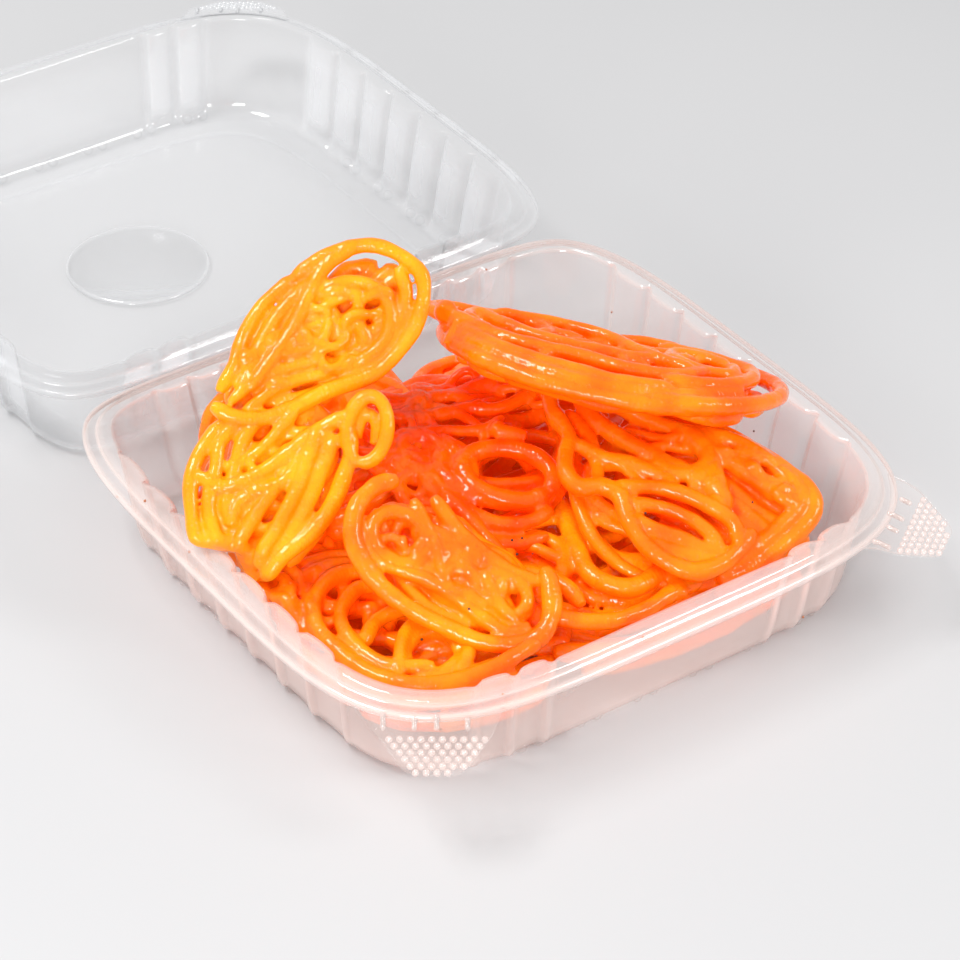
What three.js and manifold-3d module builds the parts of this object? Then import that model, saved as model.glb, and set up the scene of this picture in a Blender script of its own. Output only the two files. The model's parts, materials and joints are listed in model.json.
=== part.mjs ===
// Jalebis heaped in a clear hinged box that stands open.
//
// Millimetres, +Z up. The box stands on z = 0. X runs along its front edge, +Y runs from
// the front edge to the hinge and on to the opened lid, and the origin is under the middle
// of the tray.
import * as THREE from 'three';
import { mergeVertices } from 'three/addons/utils/BufferGeometryUtils.js';
import Module from 'manifold-3d';

const wasm = await Module();
wasm.setup();

const TURN = 2 * Math.PI;
const GAP = 0.3;                 // clearance kept between pieces that touch

// ---- the box -------------------------------------------------------------------------
const RIM_WIDTH = 205;           // across the rim, left to right
const RIM_FRONT = 101.7;         // from the middle to the bowed front edge
const HINGE_Y = 90.6;            // from the middle to the straight hinge edge
const RIM_LEVEL = 34.7;          // top of the flange above the table
const RIDGE_RISE = 2.5;          // snap ridge above the flange
const SHEET = 0.7;               // thickness of the plastic
const FLANGE = 4.2;              // width of the flat flange
const RIDGE_FOOT = 5.5;          // inset of the ridge's outer shoulder
const CREST = 9.5;               // inset of the wall's top edge
const FLOOR_INSET = 15.9;        // inset of the floor's edge, so the wall leans out
const RIM_SQUARENESS = 4.4;      // superellipse exponent at the rim
const FLOOR_SQUARENESS = 5.4;    // and at the floor
const GROOVE_DEPTH = 1.3;        // upright grooves between the wall's panels
const GROOVE_HALF = 2.2;
const SIDE_GROOVES = [-41.8, -25, -8.4, 8.4, 25, 41.8];
const END_GROOVES = [-66, -54, -42, 42, 54, 66];
const CORNER_STEPS = 4;
const DISC_RADIUS = 24.4;        // round boss in the lid
const DISC_RISE = 0.9;
const DISC_AT = [-9, -11];       // its middle, from the lid's own middle

// ---- grip tabs at the free corners ---------------------------------------------------
const TAB_LENGTH = 18;
const TAB_ROOT = 37;             // width where it leaves the rim
const TAB_SHOULDER = 32;
const TAB_TIP = 15;
const TAB_SHOULDER_AT = 5;
const TAB_PLACE = THREE.MathUtils.degToRad(-48.5);    // heading of its root on the right
const TAB_OUT = THREE.MathUtils.degToRad(-55.5);      // heading it points to
const TAB_DROOP = THREE.MathUtils.degToRad(18);
const TAB_OVERLAP = 2.5;         // reach of the tab under the flange

// ---- the piped strand ----------------------------------------------------------------
const STRAND = 7.4;              // diameter
const STRAND_SIDES = 4;
const RING_STEPS = 9;            // steps in a turn of the rim
const LOOP_STEPS = 5;            // steps in a loop of the middle
const PITCH = 0.8 * STRAND;      // a rim turn lies this far inside the one before
const LENGTH_STEPS = 6;           // steps in a length of strand that never crosses itself
const WEAVE = 0.36 * STRAND;     // how far the strand rides over itself

// Each swirl: its middle, the tilt of its face from level and the heading it tilts to,
// its turn in its own plane, its half length and half width, the turns of its rim, the
// loops of its middle, and how fast those loops drift and spin. Degrees for angles.
const HEAP = {
  jalebi_leaning: [
    { at: [-41, 22, 78], tilt: 45, toward: -121, turn: 30, long: 36, wide: 25,
      rings: 1.3, loops: 2.6, drift: 0.31, spin: 1.27, start: 0.4, warp: 2 },
    { at: [-67, 1, 51], tilt: 45, toward: -125, turn: 40, long: 36, wide: 27,
      rings: 1.2, loops: 2.6, drift: 0.23, spin: 1.13, start: 2.4, warp: 2 },
  ],
  jalebi_top: [
    { at: [37.5, -10, 60.5], tilt: 23.3, toward: 28.9, turn: -157, long: 50, wide: 33,
      rings: 1.7, loops: 3.2, drift: 0.31, spin: 1.31, start: 3.0, warp: 3 },
  ],
  jalebi_right: [
    { at: [40, -50, 42], tilt: 20, toward: -115, turn: 8, long: 42, wide: 36,
      rings: 1.4, loops: 3.2, drift: 0.29, spin: 1.23, start: 2.0, warp: 3 },
  ],
  jalebi_front: [
    { at: [-41, -44.5, 36], tilt: 38, toward: -118, turn: -38, long: 36, wide: 21,
      rings: 1.4, loops: 2.6, drift: 0.27, spin: 1.19, start: 3.0, warp: 2 },
  ],
  jalebi_middle: [
    { at: [-7, -6, 40], tilt: 14, toward: -110, turn: 5, long: 40, wide: 36,
      rings: 1.6, loops: 2.6, drift: 0.33, spin: 1.21, start: 1.0, warp: 3 },
  ],
  jalebi_corner: [
    { at: [-48, -35, 23], tilt: 4, toward: -135, turn: 0, long: 40, wide: 37,
      rings: 1.4, loops: 1.8, drift: 0.31, spin: 1.27, start: 0.6, warp: 2 },
  ],
  jalebi_low: [
    { at: [18, -44, 25], tilt: 6, toward: -100, turn: 0, long: 42, wide: 34,
      rings: 1.4, loops: 1.6, drift: 0.31, spin: 1.27, start: 1.2, warp: 2 },
  ],
  jalebi_back_right: [
    { at: [44, 26, 21.7], tilt: 8, toward: 60, turn: 0, long: 40, wide: 36,
      rings: 1.2, loops: 1.2, drift: 0.31, spin: 1.27, start: 2.1, warp: 2 },
  ],
  jalebi_back_left: [
    { at: [-38, 32, 34], tilt: 12, toward: 180, turn: 0, long: 40, wide: 34,
      rings: 1.2, loops: 1.2, drift: 0.31, spin: 1.27, start: 2.9, warp: 2 },
  ],
  jalebi_base_left: [
    { at: [-32, -6, 8], tilt: 0, toward: 0, turn: 0, long: 42, wide: 38,
      rings: 1.2, loops: 1, drift: 0.31, spin: 1.27, start: 0.3, warp: 1 },
  ],
  jalebi_base_right: [
    { at: [36, -4, 8], tilt: 0, toward: 0, turn: 0, long: 42, wide: 38,
      rings: 1.2, loops: 1, drift: 0.31, spin: 1.27, start: 1.5, warp: 1 },
  ],
};

// ---- solids --------------------------------------------------------------------------
function toSolid(geometry) {
  const bare = geometry.index ? geometry.toNonIndexed() : geometry.clone();
  bare.deleteAttribute('normal');
  bare.deleteAttribute('uv');
  const welded = mergeVertices(bare, 1e-4);
  return new wasm.Manifold(new wasm.Mesh({
    numProp: 3,
    vertProperties: new Float32Array(welded.attributes.position.array),
    triVerts: new Uint32Array(welded.index.array),
  }));
}

function toGeometry(solid) {
  const mesh = solid.getMesh();
  const geometry = new THREE.BufferGeometry();
  const corners = new THREE.BufferAttribute(new Float32Array(mesh.vertProperties), 3);
  geometry.setAttribute('position', corners);
  geometry.setIndex(new THREE.BufferAttribute(new Uint32Array(mesh.triVerts), 1));
  geometry.computeVertexNormals();
  return geometry;
}

// A closed skin over a stack of rings with equal numbers of points. Each end is closed by
// a fan about the middle of its ring.
function skin(rings) {
  const corners = [];
  const tri = (a, b, c) => corners.push(...a, ...b, ...c);
  const middle = (ring) => [0, 1, 2].map(
    (axis) => ring.reduce((sum, point) => sum + point[axis], 0) / ring.length);
  const count = rings[0].length;
  for (let i = 0; i < count; i++) {
    const j = (i + 1) % count;
    for (let k = 0; k + 1 < rings.length; k++) {
      tri(rings[k][i], rings[k][j], rings[k + 1][j]);
      tri(rings[k][i], rings[k + 1][j], rings[k + 1][i]);
    }
    tri(rings[0][j], rings[0][i], middle(rings[0]));
    tri(rings.at(-1)[i], rings.at(-1)[j], middle(rings.at(-1)));
  }
  const geometry = new THREE.BufferGeometry();
  geometry.setAttribute('position', new THREE.Float32BufferAttribute(corners, 3));
  return toSolid(geometry);
}

// ---- tray and lid --------------------------------------------------------------------
// The headings from the middle at which every ring of the box has a point, each with how
// deep it lies in a groove, from 0 to 1.
function headings() {
  const list = [];
  const half = RIM_WIDTH / 2 - CREST;
  const groove = (x, y, dx, dy) => {
    for (const step of [-1, 0, 1]) {
      const heading = Math.atan2(y + step * dy * GROOVE_HALF, x + step * dx * GROOVE_HALF);
      list.push({ heading, depth: step === 0 ? 1 : 0 });
    }
  };
  for (const at of SIDE_GROOVES) {
    groove(half, at, 0, 1);
    groove(-half, at, 0, 1);
  }
  for (const at of END_GROOVES) {
    groove(at, -(RIM_FRONT - CREST), 1, 0);
    groove(at, HINGE_Y - CREST, 1, 0);
  }
  for (const corner of [1, 3, 5, 7]) {
    for (let i = 0; i < CORNER_STEPS; i++) {
      const spread = ((i + 0.5) / CORNER_STEPS - 0.5) * 0.3;
      list.push({ heading: Math.atan2(Math.sin(corner * TURN / 8 + spread),
        Math.cos(corner * TURN / 8 + spread)), depth: 0 });
    }
  }
  return list.sort((a, b) => a.heading - b.heading);
}
const HEADINGS = headings();

// A point on the ring round the box: a bowed square, cut straight along the hinge.
function boxPoint(heading, inset, out = 0) {
  const share = Math.min(1, inset / FLOOR_INSET);
  const power = THREE.MathUtils.lerp(RIM_SQUARENESS, FLOOR_SQUARENESS, share);
  const across = RIM_WIDTH / 2 - inset + out;
  const along = RIM_FRONT - inset + out;
  const [c, s] = [Math.cos(heading), Math.sin(heading)];
  let reach = (Math.abs(c / across) ** power + Math.abs(s / along) ** power) ** (-1 / power);
  if (s > 0) reach = Math.min(reach, (HINGE_Y - inset + out) / s);
  return [reach * c, reach * s];
}

function boxRing(inset, z, grooved = 0) {
  return HEADINGS.map(({ heading, depth }) => (
    [...boxPoint(heading, inset, grooved * depth * GROOVE_DEPTH), z]));
}

function shellRings() {
  const crest = RIM_LEVEL + RIDGE_RISE;
  return [
    boxRing(FLOOR_INSET, 0, 1),
    boxRing(CREST - SHEET, crest - SHEET, 1),
    boxRing(RIDGE_FOOT + SHEET / 2, crest - SHEET),
    boxRing(FLANGE + SHEET / 2, RIM_LEVEL - SHEET),
    boxRing(0, RIM_LEVEL - SHEET),
    boxRing(0, RIM_LEVEL),
    boxRing(FLANGE, RIM_LEVEL),
    boxRing(RIDGE_FOOT, crest),
    boxRing(CREST, crest, 1),
    boxRing(FLOOR_INSET + SHEET, SHEET, 1),
  ];
}

// A thin plate that leaves a free corner of the rim, outwards and a little down.
function gripTab(side) {
  const outline = new THREE.Shape([
    [-TAB_OVERLAP, TAB_ROOT / 2], [-TAB_OVERLAP, -TAB_ROOT / 2],
    [TAB_SHOULDER_AT, -TAB_SHOULDER / 2], [TAB_LENGTH - 3, -TAB_TIP / 2 - 2.5],
    [TAB_LENGTH, -TAB_TIP / 2 + 2.5], [TAB_LENGTH, TAB_TIP / 2 - 2.5],
    [TAB_LENGTH - 3, TAB_TIP / 2 + 2.5], [TAB_SHOULDER_AT, TAB_SHOULDER / 2],
  ].map(([x, y]) => new THREE.Vector2(x, y)));
  const plate = new THREE.ExtrudeGeometry(outline, { depth: SHEET, bevelEnabled: false });
  plate.rotateY(TAB_DROOP);
  plate.rotateZ(side > 0 ? TAB_OUT : -TURN / 2 - TAB_OUT);
  const [x, y] = boxPoint(TAB_PLACE, 0);
  plate.translate(side * x, y, RIM_LEVEL - SHEET);
  return toSolid(plate);
}

function makeTray() {
  return skin(shellRings()).add(gripTab(1)).add(gripTab(-1));
}

// The lid is the tray's own shape, mirrored in the hinge, with a round boss in its floor.
function makeLid() {
  const boss = new THREE.CylinderGeometry(DISC_RADIUS, DISC_RADIUS, DISC_RISE + SHEET / 2, 32);
  boss.rotateX(TURN / 4);
  boss.translate(...DISC_AT, SHEET / 2 + (DISC_RISE + SHEET / 2) / 2);
  return makeTray().add(toSolid(boss)).mirror([0, 1, 0]).translate([0, 2 * HINGE_Y + GAP, 0]);
}

// The room inside the tray, a little clear of its walls and open far above.
function trayRoom() {
  const crest = RIM_LEVEL + RIDGE_RISE;
  return skin([
    boxRing(FLOOR_INSET + SHEET + GAP, SHEET + GAP),
    boxRing(CREST + GAP, crest + GAP),
    boxRing(CREST + GAP, 5 * crest),
  ]);
}

// ---- jalebis -------------------------------------------------------------------------
function swirlAxes({ tilt, toward, turn }) {
  const [t, w, q] = [tilt, toward, turn].map(THREE.MathUtils.degToRad);
  const face = new THREE.Vector3(
    Math.sin(t) * Math.cos(w), Math.sin(t) * Math.sin(w), Math.cos(t));
  const level = new THREE.Vector3(-Math.sin(w), Math.cos(w), 0);
  const slope = face.clone().cross(level);
  const long = level.clone().multiplyScalar(Math.cos(q)).addScaledVector(slope, Math.sin(q));
  const wide = slope.multiplyScalar(Math.cos(q)).addScaledVector(level, -Math.sin(q));
  return { long, wide, face };
}

// The middle of the strand, q turns from its start: first round the rim, each turn inside
// the last, then through loops that drift round the middle and cross one another.
function strandPoint(swirl, axes, q) {
  const start = swirl.start;
  const pitch = PITCH / swirl.wide;
  const rim = TURN * q + start;
  const reach = 1 - pitch * Math.min(q, swirl.rings) + 0.03 * Math.sin(3 * rim + start);
  let u = reach * Math.cos(rim);
  let v = reach * Math.sin(rim);
  const past = q - swirl.rings;
  if (past > 0) {
    const blend = THREE.MathUtils.smoothstep(past, 0, 0.5);
    const inner = 1 - pitch * swirl.rings;
    const slow = TURN * (swirl.rings + swirl.drift * past) + start;
    const fast = TURN * (swirl.rings + swirl.spin * past) + start;
    const loopU = inner * (0.46 * Math.cos(slow) + 0.42 * Math.cos(fast));
    const loopV = inner * (0.46 * Math.sin(slow) + 0.42 * Math.sin(fast));
    u += (loopU - u) * blend;
    v += (loopV - v) * blend;
  }
  const rise = swirl.warp * (u * u - v * v) + WEAVE * Math.sin(TURN * 1.37 * q + start);
  return new THREE.Vector3(...swirl.at)
    .addScaledVector(axes.long, u * swirl.long)
    .addScaledVector(axes.wide, v * swirl.wide)
    .addScaledVector(axes.face, rise);
}

// The strand's cross-sections, each square to its run.
function strandSections(swirl, radius) {
  const axes = swirlAxes(swirl);
  const stops = [];
  const ringCount = Math.round(swirl.rings * RING_STEPS);
  const loopCount = Math.round(swirl.loops * LOOP_STEPS);
  for (let i = 0; i <= ringCount; i++) stops.push(i / ringCount * swirl.rings);
  for (let i = 1; i <= loopCount; i++) stops.push(swirl.rings + i / loopCount * swirl.loops);
  return stops.map((q) => {
    const middle = strandPoint(swirl, axes, q);
    const run = strandPoint(swirl, axes, q + 0.01)
      .sub(strandPoint(swirl, axes, q - 0.01)).normalize();
    const side = axes.face.clone().cross(run).normalize();
    const up = run.clone().cross(side);
    return Array.from({ length: STRAND_SIDES }, (_, k) => {
      const angle = TURN * (k + 0.25) / STRAND_SIDES;
      return middle.clone()
        .addScaledVector(side, radius * Math.cos(angle))
        .addScaledVector(up, radius * Math.sin(angle)).toArray();
    });
  });
}

// A swirl is joined from short lengths of strand, so that it may cross itself.
function swirlSolid(swirl, extra = 0) {
  const evenArea = Math.sqrt(TURN / (STRAND_SIDES * Math.sin(TURN / STRAND_SIDES)));
  const sections = strandSections(swirl, STRAND / 2 * evenArea + extra);
  const lengths = [];
  for (let i = 0; i + 1 < sections.length; i += LENGTH_STEPS) {
    lengths.push(skin(sections.slice(i, i + LENGTH_STEPS + 1)));
  }
  return wasm.Manifold.union(lengths);
}
function largestPart(solid) {
  return solid.decompose().reduce((a, b) => (a.volume() > b.volume() ? a : b));
}

// Top pieces keep their whole shape. What lies under them gives way where they press in.
function makeHeap() {
  const room = trayRoom();
  const made = {};
  let taken = null;
  for (const [name, swirls] of Object.entries(HEAP)) {
    const whole = wasm.Manifold.union(swirls.map((swirl) => swirlSolid(swirl)));
    const fitted = taken ? whole.subtract(taken) : whole;
    made[name] = largestPart(fitted.intersect(room));
    const around = wasm.Manifold.union(swirls.map((swirl) => swirlSolid(swirl, GAP)));
    taken = taken ? taken.add(around) : around;
  }
  return made;
}

// ---- assembly ------------------------------------------------------------------------
const clearPlastic = new THREE.MeshStandardMaterial({
  color: 0xeef2f3, roughness: 0.08, metalness: 0, transparent: true, opacity: 0.35 });
const syrupGlazed = (color) => new THREE.MeshStandardMaterial({
  color, roughness: 0.25, metalness: 0 });
const TINTS = { jalebi_leaning: 0xff9a1c, jalebi_front: 0xffa010, jalebi_right: 0xff7d12,
  jalebi_middle: 0xf2520c };
const COMMON_TINT = 0xff7010;

function addPiece(group, name, solid, material) {
  const mesh = new THREE.Mesh(toGeometry(solid), material);
  mesh.name = name;
  group.add(mesh);
}

const box = new THREE.Group();
addPiece(box, 'tray', makeTray(), clearPlastic);
addPiece(box, 'lid', makeLid(), clearPlastic);
for (const [name, solid] of Object.entries(makeHeap())) {
  addPiece(box, name, solid, syrupGlazed(TINTS[name] ?? COMMON_TINT));
}

export default box;
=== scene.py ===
# %% [markdown]
# # Jalebis in a clear hinged box
#
# A heap of jalebis stands in a thin clear box whose lid lies open behind it. The sweets are
# one long strand of batter each, piped in circles over itself, fried and soaked in syrup.
# The box is one thermoformed sheet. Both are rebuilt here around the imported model, which
# gives every piece its place and moves it.

# %% Load the frame
import json
import math

import bpy
import numpy as np
from mathutils import Matrix, Vector
from mathutils.kdtree import KDTree

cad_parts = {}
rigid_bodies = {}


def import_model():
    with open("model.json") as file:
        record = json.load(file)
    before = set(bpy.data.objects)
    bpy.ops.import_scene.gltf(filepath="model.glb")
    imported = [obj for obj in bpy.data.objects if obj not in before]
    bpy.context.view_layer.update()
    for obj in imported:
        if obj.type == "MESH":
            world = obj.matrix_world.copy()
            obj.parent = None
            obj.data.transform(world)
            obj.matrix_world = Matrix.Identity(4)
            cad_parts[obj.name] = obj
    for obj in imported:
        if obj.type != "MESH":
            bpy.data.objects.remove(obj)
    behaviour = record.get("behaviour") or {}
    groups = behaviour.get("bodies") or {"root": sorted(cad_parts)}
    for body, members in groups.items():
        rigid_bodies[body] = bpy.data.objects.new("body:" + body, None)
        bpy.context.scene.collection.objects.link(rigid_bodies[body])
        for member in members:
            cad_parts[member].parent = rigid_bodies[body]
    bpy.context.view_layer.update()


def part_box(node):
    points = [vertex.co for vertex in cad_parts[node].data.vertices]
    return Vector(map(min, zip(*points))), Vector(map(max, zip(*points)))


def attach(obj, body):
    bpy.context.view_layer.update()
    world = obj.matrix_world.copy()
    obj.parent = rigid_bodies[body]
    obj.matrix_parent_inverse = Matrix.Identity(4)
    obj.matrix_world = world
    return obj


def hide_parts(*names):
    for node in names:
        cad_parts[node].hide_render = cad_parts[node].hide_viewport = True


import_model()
scene = bpy.context.scene
MM = 0.001
TURN = 2 * math.pi
_, tray_high = (np.array(corner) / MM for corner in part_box("tray"))

# %% [markdown]
# ## Small helpers
#
# Every mesh here starts as plain lists of points and faces in millimetres, which is how a
# maker thinks of a box this small, and is scaled to metres as it is made. Shape work by
# Geometry Nodes ends as a plain mesh too, so that the export keeps it.

# %% Mesh helpers
def new_mesh(name, points, faces, edges=(), smooth=True):
    mesh = bpy.data.meshes.new(name)
    mesh.from_pydata((np.asarray(points, float) * MM).tolist(), list(edges), faces)
    mesh.polygons.foreach_set("use_smooth", [smooth] * len(mesh.polygons))
    mesh.update()
    piece = bpy.data.objects.new(name, mesh)
    scene.collection.objects.link(piece)
    return piece


def baked(piece):
    """A plain mesh object of what piece looks like with its modifiers, which it replaces."""
    graph = bpy.context.evaluated_depsgraph_get()
    mesh = bpy.data.meshes.new_from_object(piece.evaluated_get(graph), depsgraph=graph)
    name = piece.name
    old = piece.data
    bpy.data.objects.remove(piece)
    if old.users == 0:
        bpy.data.meshes.remove(old)
    mesh.name = name
    done = bpy.data.objects.new(name, mesh)
    scene.collection.objects.link(done)
    return done


def set_numbers(mesh, name, values, domain="POINT"):
    mesh.attributes.new(name, "FLOAT", domain).data.foreach_set(
        "value", np.asarray(values, np.float32))


def points_of(mesh):
    flat = np.empty(len(mesh.vertices) * 3)
    mesh.vertices.foreach_get("co", flat)
    return flat.reshape(-1, 3) / MM


# %% Node helpers
def link_chain(tree, *ends):
    """Links each (output socket, input socket) pair."""
    for out, into in ends:
        tree.links.new(out, into)


def new_finish(name):
    """A material with its default nodes: one shader and its output."""
    finish = bpy.data.materials.new(name)
    finish.use_nodes = True
    tree = finish.node_tree
    return finish, tree, tree.nodes["Principled BSDF"]


def set_inputs(node, **values):
    """Sets a node's inputs by name. An underscore stands for a space."""
    for label, value in values.items():
        node.inputs[label.replace("_", " ")].default_value = value


def add_node(tree, kind, **values):
    node = tree.nodes.new(kind)
    set_inputs(node, **values)
    return node


def add_math(tree, operation, second=None, third=None):
    node = tree.nodes.new("ShaderNodeMath")
    node.operation = operation
    for place, value in ((1, second), (2, third)):
        if value is not None:
            node.inputs[place].default_value = value
    return node


def add_blend(tree, first, second):
    """A mix of two colours."""
    mix = tree.nodes.new("ShaderNodeMix")
    mix.data_type = "RGBA"
    set_inputs(mix, A=(*first, 1), B=(*second, 1))
    return mix


def start_tree(name, **inputs):
    """A Geometry Nodes tree with named inputs, and the node that hands them in."""
    tree = bpy.data.node_groups.new(name, "GeometryNodeTree")
    new_socket = tree.interface.new_socket
    new_socket("Geometry", in_out="INPUT", socket_type="NodeSocketGeometry")
    for label, value in inputs.items():
        kind = "NodeSocketInt" if isinstance(value, int) else "NodeSocketFloat"
        socket = new_socket(label.replace("_", " "), in_out="INPUT", socket_type=kind)
        socket.default_value = value
    new_socket("Finish", in_out="INPUT", socket_type="NodeSocketMaterial")
    new_socket("Geometry", in_out="OUTPUT", socket_type="NodeSocketGeometry")
    return tree, tree.nodes.new("NodeGroupInput")


def end_tree(tree, entry, made):
    """Every tree ends alike: what it made is made real and painted."""
    whole = tree.nodes.new("GeometryNodeRealizeInstances")
    paint = tree.nodes.new("GeometryNodeSetMaterial")
    leave = tree.nodes.new("NodeGroupOutput")
    link_chain(
        tree,
        (made, whole.inputs["Geometry"]),
        (whole.outputs["Geometry"], paint.inputs["Geometry"]),
        (entry.outputs["Finish"], paint.inputs["Material"]),
        (paint.outputs["Geometry"], leave.inputs["Geometry"]),
    )


def add_tree(piece, tree, **values):
    """A Geometry Nodes modifier with its inputs set by their identifiers."""
    modifier = piece.modifiers.new(tree.name, "NODES")
    modifier.node_group = tree
    by_name = {item.name: item.identifier for item in tree.interface.items_tree
               if item.item_type == "SOCKET" and item.in_out == "INPUT"}
    for label, value in values.items():
        modifier[by_name[label.replace("_", " ")]] = value


# %% [markdown]
# ## Syrup-soaked batter
#
# Jalebi is bright because light goes into it: the batter is full of clear syrup, so its
# colour comes from below the surface and the surface itself is a thin wet film. That is a
# subsurface shader under a clear coat. Light that has wandered through many strands comes
# out of the cavities red, deeper than the renderer follows it: a faint red glow stands in
# for that. The strand leaves the nozzle in little pulses, which show as fine ridges across
# it: a wave along the strand's own length, which each mesh carries as a number, makes those.

# %% Jalebi finish
RIDGE_PITCH = 1.5            # mm from one pulse of the nozzle to the next


def jalebi_finish(name, pale, rich, ridge_depth):
    finish, tree, shader = new_finish(name)
    along = tree.nodes.new("ShaderNodeAttribute")
    along.attribute_name = "along"
    place = tree.nodes.new("ShaderNodeTexCoord")
    # colour drifts between the rich and the pale tint in patches
    patches = add_node(tree, "ShaderNodeTexNoise", Scale=55.0, Detail=3.0)
    ramp = tree.nodes.new("ShaderNodeValToRGB")
    for stop, position, tint in zip(ramp.color_ramp.elements, (0.36, 0.66), (rich, pale)):
        stop.position = position
        stop.color = (*tint, 1)
    # ridges left by the nozzle, worn away in places
    pace = add_math(tree, "MULTIPLY", TURN / RIDGE_PITCH)
    wave = add_math(tree, "SINE")
    fine = add_node(tree, "ShaderNodeTexNoise", Scale=420.0, Detail=2.0)
    worn = add_math(tree, "MULTIPLY")
    ridge_bump = add_node(tree, "ShaderNodeBump", Strength=0.55, Distance=ridge_depth)
    # small lumps, which the syrup film follows
    lumps = add_node(tree, "ShaderNodeTexNoise", Scale=400.0, Detail=1.0)
    film_bump = add_node(tree, "ShaderNodeBump", Strength=0.6, Distance=0.0006)
    link_chain(
        tree,
        (place.outputs["Object"], patches.inputs["Vector"]),
        (place.outputs["Object"], fine.inputs["Vector"]),
        (place.outputs["Object"], lumps.inputs["Vector"]),
        (patches.outputs["Fac"], ramp.inputs["Fac"]),
        (ramp.outputs["Color"], shader.inputs["Base Color"]),
        (along.outputs["Fac"], pace.inputs[0]),
        (pace.outputs[0], wave.inputs[0]),
        (wave.outputs[0], worn.inputs[0]),
        (fine.outputs["Fac"], worn.inputs[1]),
        (worn.outputs[0], ridge_bump.inputs["Height"]),
        (lumps.outputs["Fac"], film_bump.inputs["Height"]),
        (film_bump.outputs["Normal"], ridge_bump.inputs["Normal"]),
        (ridge_bump.outputs["Normal"], shader.inputs["Normal"]),
        (film_bump.outputs["Normal"], shader.inputs["Coat Normal"]),
    )
    set_inputs(shader, Roughness=0.08, IOR=1.4, Specular_Tint=(1.0, 0.86, 0.68, 1),
               Specular_IOR_Level=0.3, Coat_Weight=0.45, Coat_Roughness=0.04, Coat_IOR=1.5,
               Subsurface_Weight=0.55, Subsurface_Radius=(1.0, 0.34, 0.05),
               Subsurface_Scale=0.0045, Emission_Color=(1.0, 0.12, 0.0, 1),
               Emission_Strength=0.06)
    # a random walk gives the same look here and takes longer
    shader.subsurface_method = "BURLEY"
    return finish


GOLDEN = jalebi_finish("syrup_golden", (1.0, 0.37, 0.006), (1.0, 0.23, 0.002), 0.00011)
AMBER = jalebi_finish("syrup_amber", (1.0, 0.31, 0.004), (1.0, 0.14, 0.002), 0.00009)
ORANGE = jalebi_finish("syrup_orange", (1.0, 0.25, 0.004), (1.0, 0.12, 0.001), 0.00009)
DEEP = jalebi_finish("syrup_deep", (1.0, 0.16, 0.002), (0.98, 0.06, 0.001), 0.00009)
print("finishes:", GOLDEN.name, AMBER.name, ORANGE.name, DEEP.name)

# %% [markdown]
# ## The box's form
#
# Every ring round the box is the same bowed square, drawn at some inset from the rim, so
# one function of heading and inset gives the whole box. The straight hinge edge cuts it
# off. The upright walls are pressed into panels that bow inwards between narrow grooves:
# a second function gives that relief, and it fades out at the floor and the crest. A list
# of stations then runs from the lip over the flange and the snap ridge, down the wall and
# across the floor. The outline comes first, because the food has to stay inside it.

# %% Box outline
RIM_HALF = 102.5             # mm, as every size of the box
RIM_FRONT = 101.7
HINGE_Y = tray_high[1]
RIM_LEVEL = 34.7
CREST = RIM_LEVEL + 2.5
SHEET = 0.5
RIM_SQUARENESS = 4.4
FLOOR_SQUARENESS = 5.4
FLOOR_INSET = 15.9
CREST_INSET = 9.5            # where the wall's panels meet the crest
FOLD_GAP = 0.3               # between the two halves at the hinge
HINGE_CORNER = 24.0          # how tight the corners beside the hinge are; higher is tighter
GROOVE_HALF = 2.4
SIDE_GROOVES = [16.7 * (i - 3.5) for i in range(8)]
END_GROOVES = [-66, -54, -42, 42, 54, 66]
PANEL_BOW = 2.2
ROUND_STEPS = 900


def headings():
    """Headings at even distances round the rim, so that all folds are equally fine."""
    fine = np.linspace(0, TURN, 20001)
    x, y = ring_xy(fine, 0.0)
    length = np.concatenate([[0], np.cumsum(np.hypot(np.diff(x), np.diff(y)))])
    return np.interp(np.linspace(0, length[-1], ROUND_STEPS, endpoint=False), length, fine)


def ring_xy(heading, inset):
    """The outline at that inset, at those headings from the middle."""
    share = min(1.0, inset / FLOOR_INSET)
    power = RIM_SQUARENESS + (FLOOR_SQUARENESS - RIM_SQUARENESS) * share
    c, s = np.cos(heading), np.sin(heading)
    reach = (np.abs(c / (RIM_HALF - inset)) ** power
             + np.abs(s / (RIM_FRONT - inset)) ** power) ** (-1 / power)
    back = (HINGE_Y - inset) / np.maximum(s, 1e-6)
    # a soft minimum rounds the two corners beside the hinge
    both = (reach ** -HINGE_CORNER
            + np.maximum(back, 1.0) ** -HINGE_CORNER) ** (-1 / HINGE_CORNER)
    reach = np.where(s > 0, both, reach)
    return reach * c, reach * s


def folded(points):
    """Points in mm mirrored in the hinge, from the tray to the lid."""
    points[:, 1] = 2 * HINGE_Y + FOLD_GAP - points[:, 1]
    return points


HEADING = headings()
RIM_X, RIM_Y = ring_xy(HEADING, CREST_INSET)


def groove_profile(distance):
    """1 in the middle of a groove, 0 past its lips."""
    near = np.clip(1 - np.abs(distance) / GROOVE_HALF, 0, 1)
    return near * near * (3 - 2 * near)


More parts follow.
